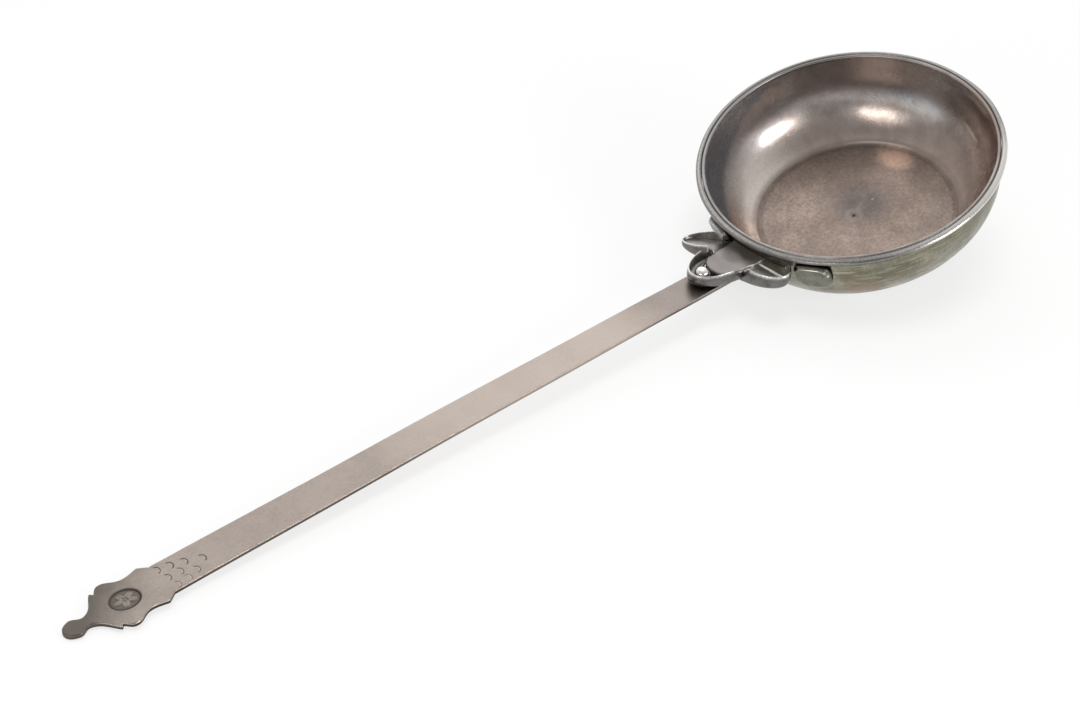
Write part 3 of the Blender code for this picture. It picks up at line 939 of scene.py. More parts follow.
@dataclass
class Bowl(BowlPiece):
    """The raised bowl: floor, rounded wall and upright lip."""

    node: str = "bowl"
    slot: Slot = Slot.BOWL
    finish: Silver = INSIDE
    around: int = 300
    lip_rows: int = 11
    lip_inside: int = 8
    foot_round: float = 0.35
    punch_size: float = 0.5
    punch_ring: float = 1.9
    nick: tuple[float, float] = (7.0, 0.0)
    nick_size: float = 0.6
    # Place and width of a painted glint on the inner lip.
    rubbed: float = math.radians(141)
    rubbed_width: float = 0.07
    # Reach of the painted shade on the outer wall behind the bracket.
    grime: float = 15.0

    def inner_rows(self) -> Array:
        """Section from the floor's middle up to the lip.

        Returns:
            Rows of radius, height, wear and glint, and recess and shade.
        """
        floor, arc = BOWL.wall, BOWL.arc - BOWL.wall
        edge = float(BOWL.outer(floor, BOWL.wall))
        radius = np.concatenate([[0.0], np.linspace(0.2, 3.6, 18), np.linspace(4.2, edge - 1.6, 30)])
        flat = spread(radius, floor + 0.012 * np.sin(radius * 1.7) * np.exp(-radius / 25), 0.1, 0.0)
        share = np.linspace(0, 1, 12)
        dip = np.sin(math.pi * share) ** 2
        crease = spread(edge - 1.4 + 1.35 * share, floor - 0.05 * dip, 0.05, 0.3 * dip)
        share = np.concatenate([np.linspace(0.004, 0.08, 9), np.linspace(0.11, 1, 38)])
        steep = math.asin((BOWL.turn_height - floor) / arc) * (1 - share)
        height = BOWL.turn_height - arc * np.sin(steep)
        wall = spread(BOWL.outer(height, BOWL.wall), height + 0.03 * bell(share, 0.028, 0.014), 0.08, 0.0)
        inside = BOWL.wall_radius - BOWL.wall
        upright = spread(inside, np.linspace(BOWL.turn_height + 0.6, BOWL.height - 0.55, 7), 0.08, 0.0)
        return np.concatenate([flat, crease, wall, upright])

    def outer_rows(self) -> Array:
        """Section from the lip down to the base's middle.

        Returns:
            Rows of radius, height, wear and glint, and recess and shade.
        """
        half = BOWL.wall / 2
        turn = np.linspace(0, math.pi, self.lip_rows)
        middle = BOWL.wall_radius - half
        lip = spread(middle - half * np.cos(turn), BOWL.height - half + half * np.sin(turn), 0.2, 0.3)
        # Painted shade: the lip's face against the wire, the band under the wire and the wall below it.
        lip[self.lip_inside :, 3] = 0.7
        under = BOWL.height - BOWL.wire_height
        shaded_seam = spread(BOWL.wall_radius, np.linspace(BOWL.height - 0.8, under - 0.5, 5), 0.0, 1.0)
        share = np.linspace(0, 1, 46)
        height = (under - 0.8) * (1 - share) + self.foot_round * share
        shade = 0.6 * (1 - smooth(0, 0.06, share))
        wall = spread(BOWL.outer(height), height, 0.1 + 0.5 * smooth(0.92, 1, share), shade)
        turn = np.linspace(0.3, QUARTER, 5)
        level = self.foot_round - self.foot_round * np.sin(turn)
        foot = spread(BOWL.base_radius - 0.5 + 0.5 * np.cos(turn), level, 0.7, 0.0)
        base = spread(np.append(np.linspace(BOWL.base_radius - 1.5, 1.0, 16), 0.0), 0.0, 0.3, 0.1)
        return np.concatenate([lip, shaded_seam, wall, foot, base])

    def sheet(self) -> Sheet:
        """Revolve the section, add marks of making and use, and paint a lip glint and bracket shade.

        Returns:
            The bowl.
        """
        inner = self.inner_rows()
        section = np.concatenate([inner, self.outer_rows()])
        count = len(section)
        beyond = np.arange(count) >= len(inner) + self.lip_inside
        outside = np.tile(beyond, self.around)
        turned, radius, height, worn, deep = revolve(section, self.around)
        points = polar(radius, turned, height)
        wall = smooth(2.2, 6.0, height) * (1 - smooth(21.5, 24.0, height))
        hammer = 0.03 * ripple(points, 9.0, 3) + 0.05 * ripple(points, 26.0, 5)
        radius = radius + np.minimum(hammer - 0.12, 0.0) * wall
        radius = radius + out_of_round(turned) * smooth(2.0, BOWL.height, height) * (radius > 10)
        floor = (height < 1.5) & (height > 0.6)
        lift = 0.02 * ripple(points, 14.0, 8) * smooth(3.0, 8.0, radius)
        from_punch = np.hypot(*(points[:, :2] - BOWL.centre_punch).T)
        pit, ring = bell(from_punch, 0.0, self.punch_size), bell(from_punch, self.punch_ring, 0.25)
        nick = bell(np.hypot(*(points[:, :2] - self.nick).T), 0.0, self.nick_size)
        height = height + (lift - 0.3 * pit - 0.03 * ring + 0.06 * nick) * floor
        # Painted glint on the inner lip, laid as wear.
        rubbed = bell(turned, self.rubbed, self.rubbed_width) * (height > BOWL.height - 1.2)
        worn = np.maximum(np.maximum(worn, 0.8 * nick * floor), rubbed * ~outside)
        deep = np.maximum(deep, (pit + 0.25 * ring) * floor) * (1 - rubbed)
        # Painted shade on the outer wall behind the bracket.
        bracket = 1 - smooth(self.grime * 0.7, self.grime, np.abs(turned - math.pi) * BOWL.wall_radius)
        deep = np.maximum(deep, bracket * outside * smooth(12.0, 20.0, height) * 0.6)
        faces = grid_faces(self.around, count, True, False)
        zones = np.tile(beyond[:-1], self.around).astype(int)
        return Sheet(polar(radius, turned, height), faces, worn, deep, zones)

    def finishes(self) -> list[Material]:
        """The used inside with its painted reflections, and the streaked outside with its painted shade."""
        return [InsideFilmAndReflections(self.finish.make()).material(), streaked_outside()]


@dataclass
class RimWire(BowlPiece):
    """Half-round wire soldered round the outside of the lip."""

    node: str = "rim_wire"
    slot: Slot = Slot.RIM
    finish: Silver = WIRE
    around: int = 300
    across: int = 17
    solder: float = 43.32

    def sweep(self) -> Shape:
        """Sweep the half-round section round the rim.

        Returns:
            Points and faces of the wire, true and even.
        """
        size = (BOWL.rim_radius - self.solder, BOWL.wire_height / 2, 1.0)
        recipe = Recipe("swept_wire")
        radius = recipe.given("Rim radius", "NodeSocketFloat", self.solder)
        section = recipe.given("Section", "NodeSocketVector", size)
        path = recipe.add("GeometryNodeCurvePrimitiveCircle", {"Resolution": self.around, "Radius": radius})
        path = recipe.add("GeometryNodeSetCurveNormal", {"Curve": path}, mode="Z_UP")
        arc = {"Resolution": self.across, "Radius": 1.0, "Start Angle": -QUARTER, "Sweep Angle": math.pi}
        half = recipe.add("GeometryNodeCurveArc", arc, mode="RADIUS")
        half = recipe.add("GeometryNodeTransform", {"Geometry": half, "Scale": section})
        half = recipe.add("GeometryNodeSetSplineCyclic", {"Geometry": half, "Cyclic": True})
        wire = recipe.add("GeometryNodeCurveToMesh", {"Curve": path, "Profile Curve": half})
        return recipe.run(wire, bpy.data.meshes.new("rim_path"), self.materials[0])

    def sheet(self) -> Sheet:
        """Take the swept wire and add its unevenness, wear, painted highlight and painted shade.

        Returns:
            The wire.
        """
        points, faces = self.sweep()
        half = BOWL.wire_height / 2
        turned = np.arctan2(points[:, 1], points[:, 0])
        out = np.abs(np.hypot(points[:, 0], points[:, 1]) - self.solder)
        level = points[:, 2] / half
        # Painted highlight on the near side, laid as wear.
        rubbed = smooth(-2.3, -1.6, turned) * (1 - smooth(-1.15, -0.55, turned))
        worn = (0.48 + 0.52 * rubbed) * smooth(0.3 - rubbed, 0.8 - rubbed, level) * smooth(0.1, 0.6, out)
        # Painted shade on the wire's underside and in the groove against the lip.
        under = 0.8 * (1 - 0.85 * rubbed) * (1 - smooth(-0.7, 0.45, level))
        deep = np.maximum(under, 0.3 * (1 - smooth(0.05, 0.3, out)))
        uneven = np.minimum(0.0, 0.05 * (ripple(points, 17.0, 21) - 1.6))
        radius = self.solder + out + out_of_round(turned) + uneven * smooth(0.2, 0.8, out)
        height = BOWL.height - half + level * (half - 0.05)
        height = height + np.minimum(0.0, 0.03 * (ripple(points, 23.0, 22) - 1.0))
        return Sheet(polar(radius, turned, height), faces, worn, deep)


COARSE_STEPS = 64
FINE_STEPS = 400


def outline(corners: Corners, resolution: int) -> Array:
    """Points round a closed Bezier outline.

    Args:
        corners: Along, across and kind of each corner.
        resolution: Points between two corners.

    Returns:
        Rows of along and across.
    """
    curve = bpy.data.curves.new("outline", "CURVE")
    curve.dimensions = "2D"
    curve.fill_mode = "NONE"
    curve.resolution_u = resolution
    spline = curve.splines.new("BEZIER")
    spline.bezier_points.add(len(corners) - 1)
    spline.use_cyclic_u = True
    for point, (along, across, corner) in zip(spline.bezier_points, corners):
        point.co = (along, across, 0.0)
        point.handle_left_type = corner.value
        point.handle_right_type = corner.value
    points, _ = taken(bpy.data.objects.new("outline", curve))
    bpy.data.curves.remove(curve)
    return points[:, :2]


def edge_distance(points: Array, edge: Array, batch: int = 4000) -> Array:
    """Distance of points to an outline.

    Args:
        points: Rows of along and across.
        edge: The outline's points, closely spaced.
        batch: How many points are measured at once.

    Returns:
        The distance of each point.
    """
    found = []
    for start in range(0, len(points), batch):
        part = points[start : start + batch]
        gaps = (part[:, None, 0] - edge[None, :, 0]) ** 2 + (part[:, None, 1] - edge[None, :, 1]) ** 2
        found.append(np.sqrt(gaps.min(axis=1)))
    return np.concatenate(found)


@dataclass
class Plate(Piece):
    """A flat piece with rounded edges, drawn from one half of its outline."""

    low: float
    top: float
    edge_round: float
    columns: int
    under_columns: int
    # Painted shade on the side faces and the underside's edges, from 0 to 1.
    side_dark: float

    def corners(self) -> Corners:
        """Along, across and kind of one side's corners, from root to tip."""
        raise NotImplementedError

    def stations(self) -> Array:
        """Where the plate has points along its length."""
        raise NotImplementedError

    def relief(self, flat: Array) -> tuple[Array, Array]:
        """Height to add to the upper face, and its hollows."""
        return np.zeros(len(flat)), np.zeros(len(flat))

    def bend(self, points: Array) -> Array:
        """Bend the finished plate."""
        return points

    def section(self) -> tuple[Array, Array]:
        """One turn round the plate.

        Returns:
            Share of the half width, and level from 0 below to 1 above.
        """
        even = np.linspace(1, -1, self.columns)
        upper = 0.65 * even + 0.35 * np.sin(even * QUARTER)
        lower = np.linspace(-1, 1, self.under_columns)
        share = np.concatenate([upper, [-1, -1], lower, [1, 1]])
        top, bottom = np.ones(self.columns), np.zeros(self.under_columns)
        return share, np.concatenate([top, [0.8, 0.2], bottom, [0.2, 0.8]])

    def sheet(self) -> Sheet:
        """Lay the section at every station, round off its edges and add its relief.

        Returns:
            The plate.
        """
        half = self.corners()
        whole = half + [(along, -across, kind) for along, across, kind in reversed(half) if across]
        coarse, dense = outline(whole, COARSE_STEPS), outline(whole, FINE_STEPS)
        side = coarse[coarse[:, 1] >= -1e-6]
        side = side[np.argsort(side[:, 0], kind="stable")]
        stations = self.stations()
        widths = np.interp(stations, side[:, 0], side[:, 1])
        share, level = self.section()
        count = len(share)
        along = np.repeat(stations, count)
        lateral = (widths[:, None] * share[None, :]).ravel()
        level = np.tile(level, len(stations))
        flat = np.stack([along, lateral], axis=1)
        away = edge_distance(flat, dense[dense[:, 0] > stations[0] + 0.02])
        away[np.abs(np.tile(share, len(stations))) > 0.9999] = 0.0
        upper, lower = level == 1, level == 0
        short = np.clip(self.edge_round - away, 0, self.edge_round)
        drop = self.edge_round - np.sqrt(self.edge_round**2 - short**2)
        height = self.low + self.edge_round + level * (self.top - self.low - 2 * self.edge_round)
        height = np.where(upper, self.top - drop, np.where(lower, self.low + drop, height))
        raised, sunk = self.relief(flat)
        points = np.stack([along, lateral, height + raised * upper], axis=1)
        points[:, 2] += 0.018 * ripple(points, 7.0, 31) * upper
        # Edges brighten with wear and painted glints; sides and underside get painted shade.
        glint = np.clip(0.7 + 0.6 * ripple(points * (1, 1, 0), 3.0, 32), 0, 1)
        worn = np.where(upper, (1 - smooth(0.0, 0.6, away)) * glint, 0.3 * lower)
        deep = np.where(upper, sunk, np.where(lower & (away > 0.8), 0.15, self.side_dark))
        faces = grid_faces(len(stations), count, False, True)
        faces.append(tuple(range(count)))
        return Sheet(self.bend(points), faces, worn, deep)


@dataclass(frozen=True)
class Punch:
    """One scale-shaped punch mark.

    Attributes:
        from_tip: Its distance from the handle's tip.
        across: Its place across the strap.
        turn: How far it is turned, in degrees.
        force: How hard it was struck, which sets how far it sinks, from 0 to 1.
    """

    from_tip: float
    across: float
    turn: float
    force: float


PUNCHES = (
    Punch(39.7, 0.4, 4, 1.0), Punch(36.3, 2.85, -6, 0.7), Punch(35.6, -1.5, 3, 0.9),
    Punch(32.9, 0.7, -3, 0.75), Punch(33.1, 3.9, 8, 0.5), Punch(32.2, -2.7, 5, 1.0),
    Punch(28.8, -3.3, -7, 0.85), Punch(29.4, 0.55, 2, 0.8), Punch(29.8, 4.2, -4, 0.55),
)


@dataclass
class Strap(Plate):
    """The strap handle with its cut-out terminal, its stamp and its punch marks."""

    node: str = "handle_strap"
    slot: Slot = Slot.STRAP
    finish: Silver = STRAP
    low: float = -HANDLE.thickness
    top: float = 0.0
    edge_round: float = 0.3
    columns: int = 112
    under_columns: int = 24
    side_dark: float = 1.0
    root: float = -1.35
    tip: float = HANDLE.length - 0.01
    shaft_steps: int = 120
    marked: float = 42.3
    marked_step: float = 0.135
    tip_round: float = 0.45
    tip_steps: int = 12
    punch_radius: float = 1.3
    stamp_from_tip: float = 17.3
    stamp_size: tuple[float, float] = (4.4, 3.7)
    stamp_leaves: int = 5

    def corners(self) -> Corners:
        """The straight shaft, two pairs of lobes, the neck and the knob."""
        terminal = [(self.tip - back, half, kind) for back, half, kind in TERMINAL.values()]
        return [(self.root, HANDLE.root_width / 2, Corner.SHARP), *terminal]

    def stations(self) -> Array:
        """Wide steps on the shaft, fine ones where it is marked.

        Returns:
            Places along the strap.
        """
        shaft = np.linspace(self.root, self.tip - self.marked - 0.2, self.shaft_steps)
        marked = np.arange(self.tip - self.marked, self.tip - self.tip_round, self.marked_step)
        end = self.tip - self.tip_round * (1 - np.sin(np.linspace(0, QUARTER, self.tip_steps)))
        return np.concatenate([shaft, marked, end])

    def relief(self, flat: Array) -> tuple[Array, Array]:
        """The punch marks and the stamp.

        Args:
            flat: Rows of along and across.

        Returns:
            Height to add, and hollows.
        """
        raised, sunk = self.stamp(flat)
        for punch in PUNCHES:
            turn = math.radians(punch.turn)
            along = (HANDLE.length - punch.from_tip) - flat[:, 0]
            across = flat[:, 1] - punch.across
            ahead = along * math.cos(turn) - across * math.sin(turn) + self.punch_radius * 0.5
            beside = along * math.sin(turn) + across * math.cos(turn)
            reach = np.hypot(ahead, beside) - self.punch_radius
            struck = (1 - smooth(1.0, 1.75, np.abs(np.arctan2(beside, ahead)))) * punch.force
            cut = bell(reach, 0.0, 0.15) * struck
            raised = raised + 0.05 * bell(reach, -0.45, 0.25) * struck - 0.14 * cut
            sunk = np.maximum(sunk, cut)
        return raised, sunk

    def stamp(self, flat: Array) -> tuple[Array, Array]:
        """A plain oval stamp with a five-leaved rosette.

        Args:
            flat: Rows of along and across.

        Returns:
            Height to add, and hollows.
        """
        along = (flat[:, 0] - HANDLE.length + self.stamp_from_tip) / self.stamp_size[0]
        across = flat[:, 1] / self.stamp_size[1]
        reach = np.hypot(along, across)
        leaves = np.arctan2(across, along) * self.stamp_leaves / 2
        sunken = 1 - smooth(0.84, 0.98, reach)
        leaf = 0.34 + 0.42 * np.abs(np.cos(leaves))
        rosette = (1 - smooth(leaf - 0.16, leaf + 0.06, reach)) * smooth(0.12, 0.22, reach)
        vein = bell(np.abs(np.sin(leaves)) * reach, 0.0, 0.07) * (reach < leaf)
        boss = 1 - smooth(0.07, 0.16, reach)
        groove, ridge = bell(reach, 0.9, 0.06), bell(reach, 1.07, 0.06)
        raised = 0.22 * rosette + 0.2 * boss + 0.05 * ridge
        raised = raised - 0.22 * sunken - 0.09 * vein - 0.1 * groove
        ground = np.clip(sunken - rosette - boss, 0, 1)
        return raised, np.clip(0.55 * ground + 0.4 * vein * sunken + 0.75 * groove, 0, 1)

    def bend(self, points: Array) -> Array:
        """Give the shaft its slight arch and waves.

        Args:
            points: Rows of x, y, z.

        Returns:
            The same rows, bent.
        """
        share = np.clip(points[:, 0] / HANDLE.length, 0, 1)
        arch = 0.35 * np.sin(math.pi * share) + 0.4 * np.sin(5.2 * math.pi * share) * share * (1 - share)
        points[:, 2] += arch * (1 - smooth(0.90, 1.0, share)) * smooth(22.0, 40.0, points[:, 0])
        return points

    def finishes(self) -> list[Material]:
        """Satin silver, tarnished towards the tip, with painted light and shade along it and at the
        bracket.

        Returns:
            The material.
        """
        coat = self.finish.make()
        along, across, _ = coat.graph.axes(coat.place)
        # Painted sheen and dimming along the shaft, and a painted dark reflection by the bracket.
        paler = along.step(28.0, 54.0) - along.step(84.0, 158.0)
        painted_dimming = along.step(110.0, 165.0) - along.step(182.0, 204.0)
        painted_bracket_reflection = 1.0 - along.step(18.0, 44.0)
        ragged = along - across * 1.1 + (coat.noise(0.12, 3.0) - 0.5) * 16.0
        tarnished = ragged.step(HANDLE.length - 30.0, HANDLE.length - 2.0)
        coat.lay(
            (paler * 0.6, (0.62, 0.535, 0.475)),
            (painted_dimming * 0.25, (0.30, 0.25, 0.225)),
            (painted_bracket_reflection * 0.6, (0.32, 0.285, 0.275)),
            (tarnished * 0.9, (0.12, 0.105, 0.09)),
        )
        return [coat.material()]


@dataclass
class PunchBurrs(Piece):
    """The thin burr that each punch threw up on its hollow side; they stand for no node."""

    node: str = ""
    slot: Slot = Slot.STRAP
    finish: Silver = BURR
    strap: Strap = field(default_factory=Strap)
    burr: float = 0.055
    inset: float = 0.3
    steps: int = 15
    sides: int = 8
    sweep: float = math.radians(150)

    @property
    def name(self) -> str:
        """The piece's own name."""
        return "punch_burrs"

    def places(self) -> bpy.types.Mesh:
        """Points where the punches struck.

        Returns:
            The points, each with its turn.
        """
        rows = [(HANDLE.length - punch.from_tip, punch.across, 0.0) for punch in PUNCHES]
        mesh = bpy.data.meshes.new(self.name)
        mesh.from_pydata(self.strap.bend(np.array(rows)).tolist(), [], [])
        turns = mesh.attributes.new("turn", "FLOAT_VECTOR", "POINT")
        angles = [(0.0, 0.0, math.pi - math.radians(punch.turn)) for punch in PUNCHES]
        turns.data.foreach_set("vector", np.array(angles).ravel())
        return mesh

    def sheet(self) -> Sheet:
        """Strike a burr at every punch mark.

        Returns:
            The burrs.
        """
        recipe = Recipe("struck_burrs")
        radius = recipe.given("Arc radius", "NodeSocketFloat", self.strap.punch_radius - self.inset)
        thick = recipe.given("Burr", "NodeSocketFloat", self.burr)
        arc = {"Start Angle": -self.sweep / 2, "Sweep Angle": self.sweep}
        arc = {"Resolution": self.steps, "Radius": radius, **arc}
        path = recipe.add("GeometryNodeCurveArc", arc, mode="RADIUS")
        share = recipe.add("GeometryNodeSplineParameter", {})
        swell = share.maths("SINE", share * math.pi)
        ring = recipe.add("GeometryNodeCurvePrimitiveCircle", {"Resolution": self.sides, "Radius": thick})
        burr = {"Curve": path, "Profile Curve": ring, "Scale": swell, "Fill Caps": True}
        burr = recipe.add("GeometryNodeCurveToMesh", burr)
        back = {"Geometry": burr, "Translation": (-self.strap.punch_radius * 0.5, 0.0, 0.0)}
        burr = recipe.add("GeometryNodeTransform", back)
        turn = recipe.add("GeometryNodeInputNamedAttribute", {"Name": "turn"}, data_type="FLOAT_VECTOR")
        turn = recipe.add("FunctionNodeEulerToRotation", {"Euler": turn})
        marks = {"Points": recipe.base(), "Instance": burr, "Rotation": turn}
        marks = recipe.add("GeometryNodeInstanceOnPoints", marks)
        points, faces = recipe.run(marks, self.places(), self.materials[0])
        return Sheet(points, faces, np.full(len(points), 0.5), np.zeros(len(points)))


@dataclass
class Tongue(Plate):
    """The plate that ties the strap to the bowl."""

    node: str = "bracket_tongue"
    slot: Slot = Slot.TONGUE
    finish: Silver = TONGUE
    low: float = HANDLE.tongue_low
    top: float = HANDLE.tongue_top
    edge_round: float = 0.5
    columns: int = 90
    under_columns: int = 14
    side_dark: float = 0.3
    root: float = -1.45
    root_half: float = 6.15
    end_half: float = 4.9
    reach: float = HANDLE.tongue_reach + 0.6
    end_length: float = 2.6
    shoulder: tuple[float, float] = (0.9, 0.72)
    steps: int = 90
    end_steps: int = 34

    def corners(self) -> Corners:
        """A tapering plate with a blunt round end.

        Returns:
            Along, across and kind of each corner.
        """
        return [
            (self.root, self.root_half, Corner.SHARP),
            (self.reach - self.end_length, self.end_half, Corner.SHARP),
            (self.reach - self.shoulder[0], self.end_half * self.shoulder[1], Corner.ROUND),
            (self.reach, 0.0, Corner.ROUND),
        ]

    def stations(self) -> Array:
        """Even steps, finer at the round end."""
        end = self.reach - 2.4 * (1 - np.sin(np.linspace(0, QUARTER, self.end_steps)))
        return np.concatenate([np.linspace(self.root, self.reach - 2.5, self.steps), end])

    def bend(self, points: Array) -> Array:
        """Fit the root to the round wall and leave the edges uneven.

        Args:
            points: Rows of x, y, z.

        Returns:
            The same rows, bent.
        """
        root = 1 - smooth(self.root, 6.0, points[:, 0])
        points[:, 0] -= root * points[:, 1] ** 2 / (2 * BOWL.wall_radius)
        points[:, 2] += 0.08 * np.minimum(ripple(points, 6.0, 44), 0.5) * (points[:, 2] > 1.5)
        uneven = 0.10 * ripple(points * (1, 0, 0), 4.0, 45)
        points[:, 1] += uneven * smooth(3.0, 5.0, np.abs(points[:, 1]))
        return points

    def finishes(self) -> list[Material]:
        """Satin silver, darkened towards the rivet as painted shade that evens out its light.

        Returns:
            The material.
        """
        coat = self.finish.make()
        along, _, _ = coat.graph.axes(coat.place)
        # Painted shade towards the rivet, to even out the light along the tongue.
        coat.lay((along.step(0.5, 9.0) * 0.9, (0.31, 0.284, 0.275)))
        return [coat.material()]


@dataclass
class Scoop(Piece):
    """A dished petal: ribs that run from an inner line out over a floor and up a wall."""

    slot: Slot = Slot.PETAL
    finish: Silver = PETAL
    ribs: int = 120
    side_rows: int = 26
    cap_rows: int = 5
    curl: float = 0.0
    fullness: float = 4.2
    seed: int = 50
    midrib: float = 0.0
    midrib_width: float = 0.025
    midrib_height: float = 0.4
    floor: float = 0.6
    dish: Silver = DISH

    def rim(self, share: Array) -> Array:
        """Rows along the rim, by share of it."""
        raise NotImplementedError

    def inner(self, share: Array) -> Array:
        """Rows along the line where the floor starts, at the floor's underside."""
        raise NotImplementedError

    def rib(self, span: float, depth: float) -> tuple[Array, Array, Array]:
        """Closed section of the sheet.

        Args:
            span: From the inner line to the rim.
            depth: From the rim to the floor's underside.

        Returns:
            Rows of distance out and height above the floor, with wear and glint, and recess and shade.
        """
        sheet = HANDLE.petal_sheet
        angles = np.linspace(QUARTER, 0, self.side_rows)
        out = np.cos(angles) ** (2 / self.fullness)
        rise = 1 - np.sin(angles) ** (2 / self.fullness)
        out = out * (1 - self.curl * rise**2) / (1 - self.curl)
        line = np.stack([out * span, depth * rise], axis=1)
        slope = np.gradient(line, axis=0)
        slope /= np.maximum(1e-9, np.linalg.norm(slope, axis=1))[:, None]
        inward = np.stack([-slope[:, 1], slope[:, 0]], axis=1)
        inside = np.maximum(line + inward * sheet, (0.0, self.floor))
        turn = np.linspace(0, math.pi, self.cap_rows + 2)[1:-1]
        half = (line[-1] - inside[-1]) / 2
        cap = (line[-1] + inside[-1]) / 2 + np.cos(turn)[:, None] * half
        cap += np.sin(turn)[:, None] * slope[-1] * sheet / 2
        # Painted highlight along the foot of the outer wall, laid as wear.
        foot = 0.5 * (1 - smooth(0.0, 0.18, rise)) * smooth(0.5, 0.9, out)
        outer_wear_and_glint = np.maximum(smooth(0.93, 1.0, rise) * 0.6, foot)
        inner_worn = smooth(0.95, 1.0, rise) * 0.5
        worn = np.concatenate([outer_wear_and_glint, np.ones(self.cap_rows), inner_worn[::-1]])
        # Painted shade under the rim outside, and along the inner line and up the inside.
        shade_under_rim = 0.7 * bell(rise, 0.82, 0.09)
        shaded_seam = 0.7 * (1 - smooth(0.0, 0.09, out)) + 0.5 * bell(rise, 0.5, 0.2)
        deep = np.concatenate([shade_under_rim, np.zeros(self.cap_rows), shaded_seam[::-1]])
        return np.concatenate([line, cap, inside[::-1]]), worn, deep

    def sheet(self) -> Sheet:
        """Lay a rib at every step along the rim.

        Returns:
            The petal.
        """
        share = np.linspace(0, 1, self.ribs)
        count = 2 * self.side_rows + self.cap_rows
        dished = np.arange(count) >= self.side_rows + self.cap_rows
        points, worn, deep = [], [], []
        for step, top, foot in zip(share, self.rim(share), self.inner(share)):
            flat = top[:2] - foot[:2]
            span = float(np.linalg.norm(flat))
            ease = 0.62 + 0.38 * float(smooth(0.0, 0.10, min(step, 1 - step)))
            rows, rubbed, hollow = self.rib(span, float(top[2] - foot[2]) * ease)
            crest = dished & (rows[:, 1] < self.floor + 0.05) & (self.midrib > 0)
            crest = crest * bell(step, self.midrib, self.midrib_width)
            level = foot[:2] + flat / span * rows[:, :1]
            height = foot[2] + rows[:, 1] + self.midrib_height * crest
            points.append(np.column_stack([level, height]))
            worn.append(np.maximum(rubbed, 0.5 * crest))
            deep.append(hollow * (1 - crest))
        stacked = np.concatenate(points)
        stacked[:, 2] += 0.06 * np.minimum(ripple(stacked, 8.0, self.seed), 0.8)
        faces = grid_faces(self.ribs, count, False, True)
        faces.append(tuple(range(count)))
        faces.append(tuple((self.ribs - 1) * count + number for number in reversed(range(count))))
        zones = np.append(np.tile(dished, self.ribs - 1), [False, False])
        return Sheet(stacked, faces, np.concatenate(worn), np.concatenate(deep), zones.astype(int))

    def finishes(self) -> list[Material]:
        """Dark silver, bright along the rim from wear and painted highlights, and a dull dish."""
        return [self.finish.material(), self.dish.material()]


@dataclass
class CentrePetal(Scoop):
    """The riveted petal at the strap's end of the bracket."""

    node: str = "centre_petal"
    curl: float = 0.09
    seed: int = 51
    middle: float = 8.3
    half_length: float = 12.8
    half_width: float = 6.9
    rim_drop: float = 0.2
    inner_length: float = 4.9
    inner_width: float = 5.3
    inner_blunt: float = 0.75

    def rim(self, share: Array) -> Array:
        """Half an oval, open towards the bowl.

        Args:
            share: Shares of the rim.

        Returns:
            Rows of x, y, z.
        """
        angle = (share - 0.5) * math.pi
        height = np.full_like(share, HANDLE.petal_rim - self.rim_drop)
        along = self.middle + self.half_length * np.cos(angle)
        return np.stack([along, self.half_width * np.sin(angle), height], axis=1)

    def inner(self, share: Array) -> Array:
        """Round the tongue's end.

        Args:
            share: Shares of the rim.

        Returns:
            Rows of x, y, z.
        """
        angle = (share - 0.5) * math.pi
        along = self.middle + self.inner_length * power(np.cos(angle), self.inner_blunt)
        across = self.inner_width * power(np.sin(angle), self.inner_blunt)
        return np.stack([along, across, np.full_like(share, HANDLE.tongue_low)], axis=1)


@dataclass(frozen=True)
class Lobe:
    """Where a side petal's oval rim stands.

    Attributes:
        middle: Along and across the strap.
        half_length: Half its length.
        half_width: Half its width.
        sweep: Turn towards the bowl.
        droop: Fall of its outer end.
        start: First angle of the rim, at the centre petal.
        end: Last angle of the rim, at the bowl.
    """

    middle: tuple[float, float]
    half_length: float
    half_width: float
    sweep: float
    droop: float
    start: float
    end: float


RIGHT_LOBE = Lobe((2.2, 9.1), 9.2, 5.8, math.radians(2), 0.0, math.radians(108), math.radians(-62))
LEFT_LOBE = Lobe(
    (4.3, -8.5), 9.2, 3.7, math.radians(-30), math.radians(12), math.radians(100), math.radians(-100)
)


@dataclass
class SidePetal(Scoop):
    """A petal beside the strap."""

    floor: float = 2.7
    lobe: Lobe = RIGHT_LOBE
    rim_drop: float = 0.15
    droop_from: float = -4.0
    floor_drop: float = 0.9
    inner_start: float = 7.6
    inner_length: float = 9.3
    strap_edge: tuple = ((-1.7, 9.4), (5.2, 4.95))

    @property
    def side(self) -> int:
        """Which side of the strap: 1 on the right, -1 on the left."""
        return 1 if self.lobe.middle[1] > 0 else -1

    def rim(self, share: Array) -> Array:
        """Part of a swept oval whose outer end may droop.

        Args:
            share: Shares of the rim.

        Returns:
            Rows of x, y, z.
        """
        lobe = self.lobe
        angle = lobe.start + (lobe.end - lobe.start) * share
        ahead = np.array([-math.sin(lobe.sweep), math.cos(lobe.sweep) * self.side])
        aside = np.array([math.cos(lobe.sweep), math.sin(lobe.sweep) * self.side])
        reach = np.cos(angle) * lobe.half_length
        flat = np.array(lobe.middle) + np.outer(reach, ahead)
        flat = flat + np.outer(np.sin(angle) * lobe.half_width, aside)
        fall = np.maximum(reach, self.droop_from) * math.tan(lobe.droop)
        return np.column_stack([flat, HANDLE.petal_rim - self.rim_drop - fall])

    def inner(self, share: Array) -> Array:
        """Beside the strap, from the centre petal to the bowl.

        Args:
            share: Shares of the rim.

        Returns:
            Rows of x, y, z.
        """
        along = self.inner_start - share * self.inner_length
        across = self.side * np.interp(along, *self.strap_edge)
        return np.column_stack([along, across, np.full_like(share, -self.floor_drop)])


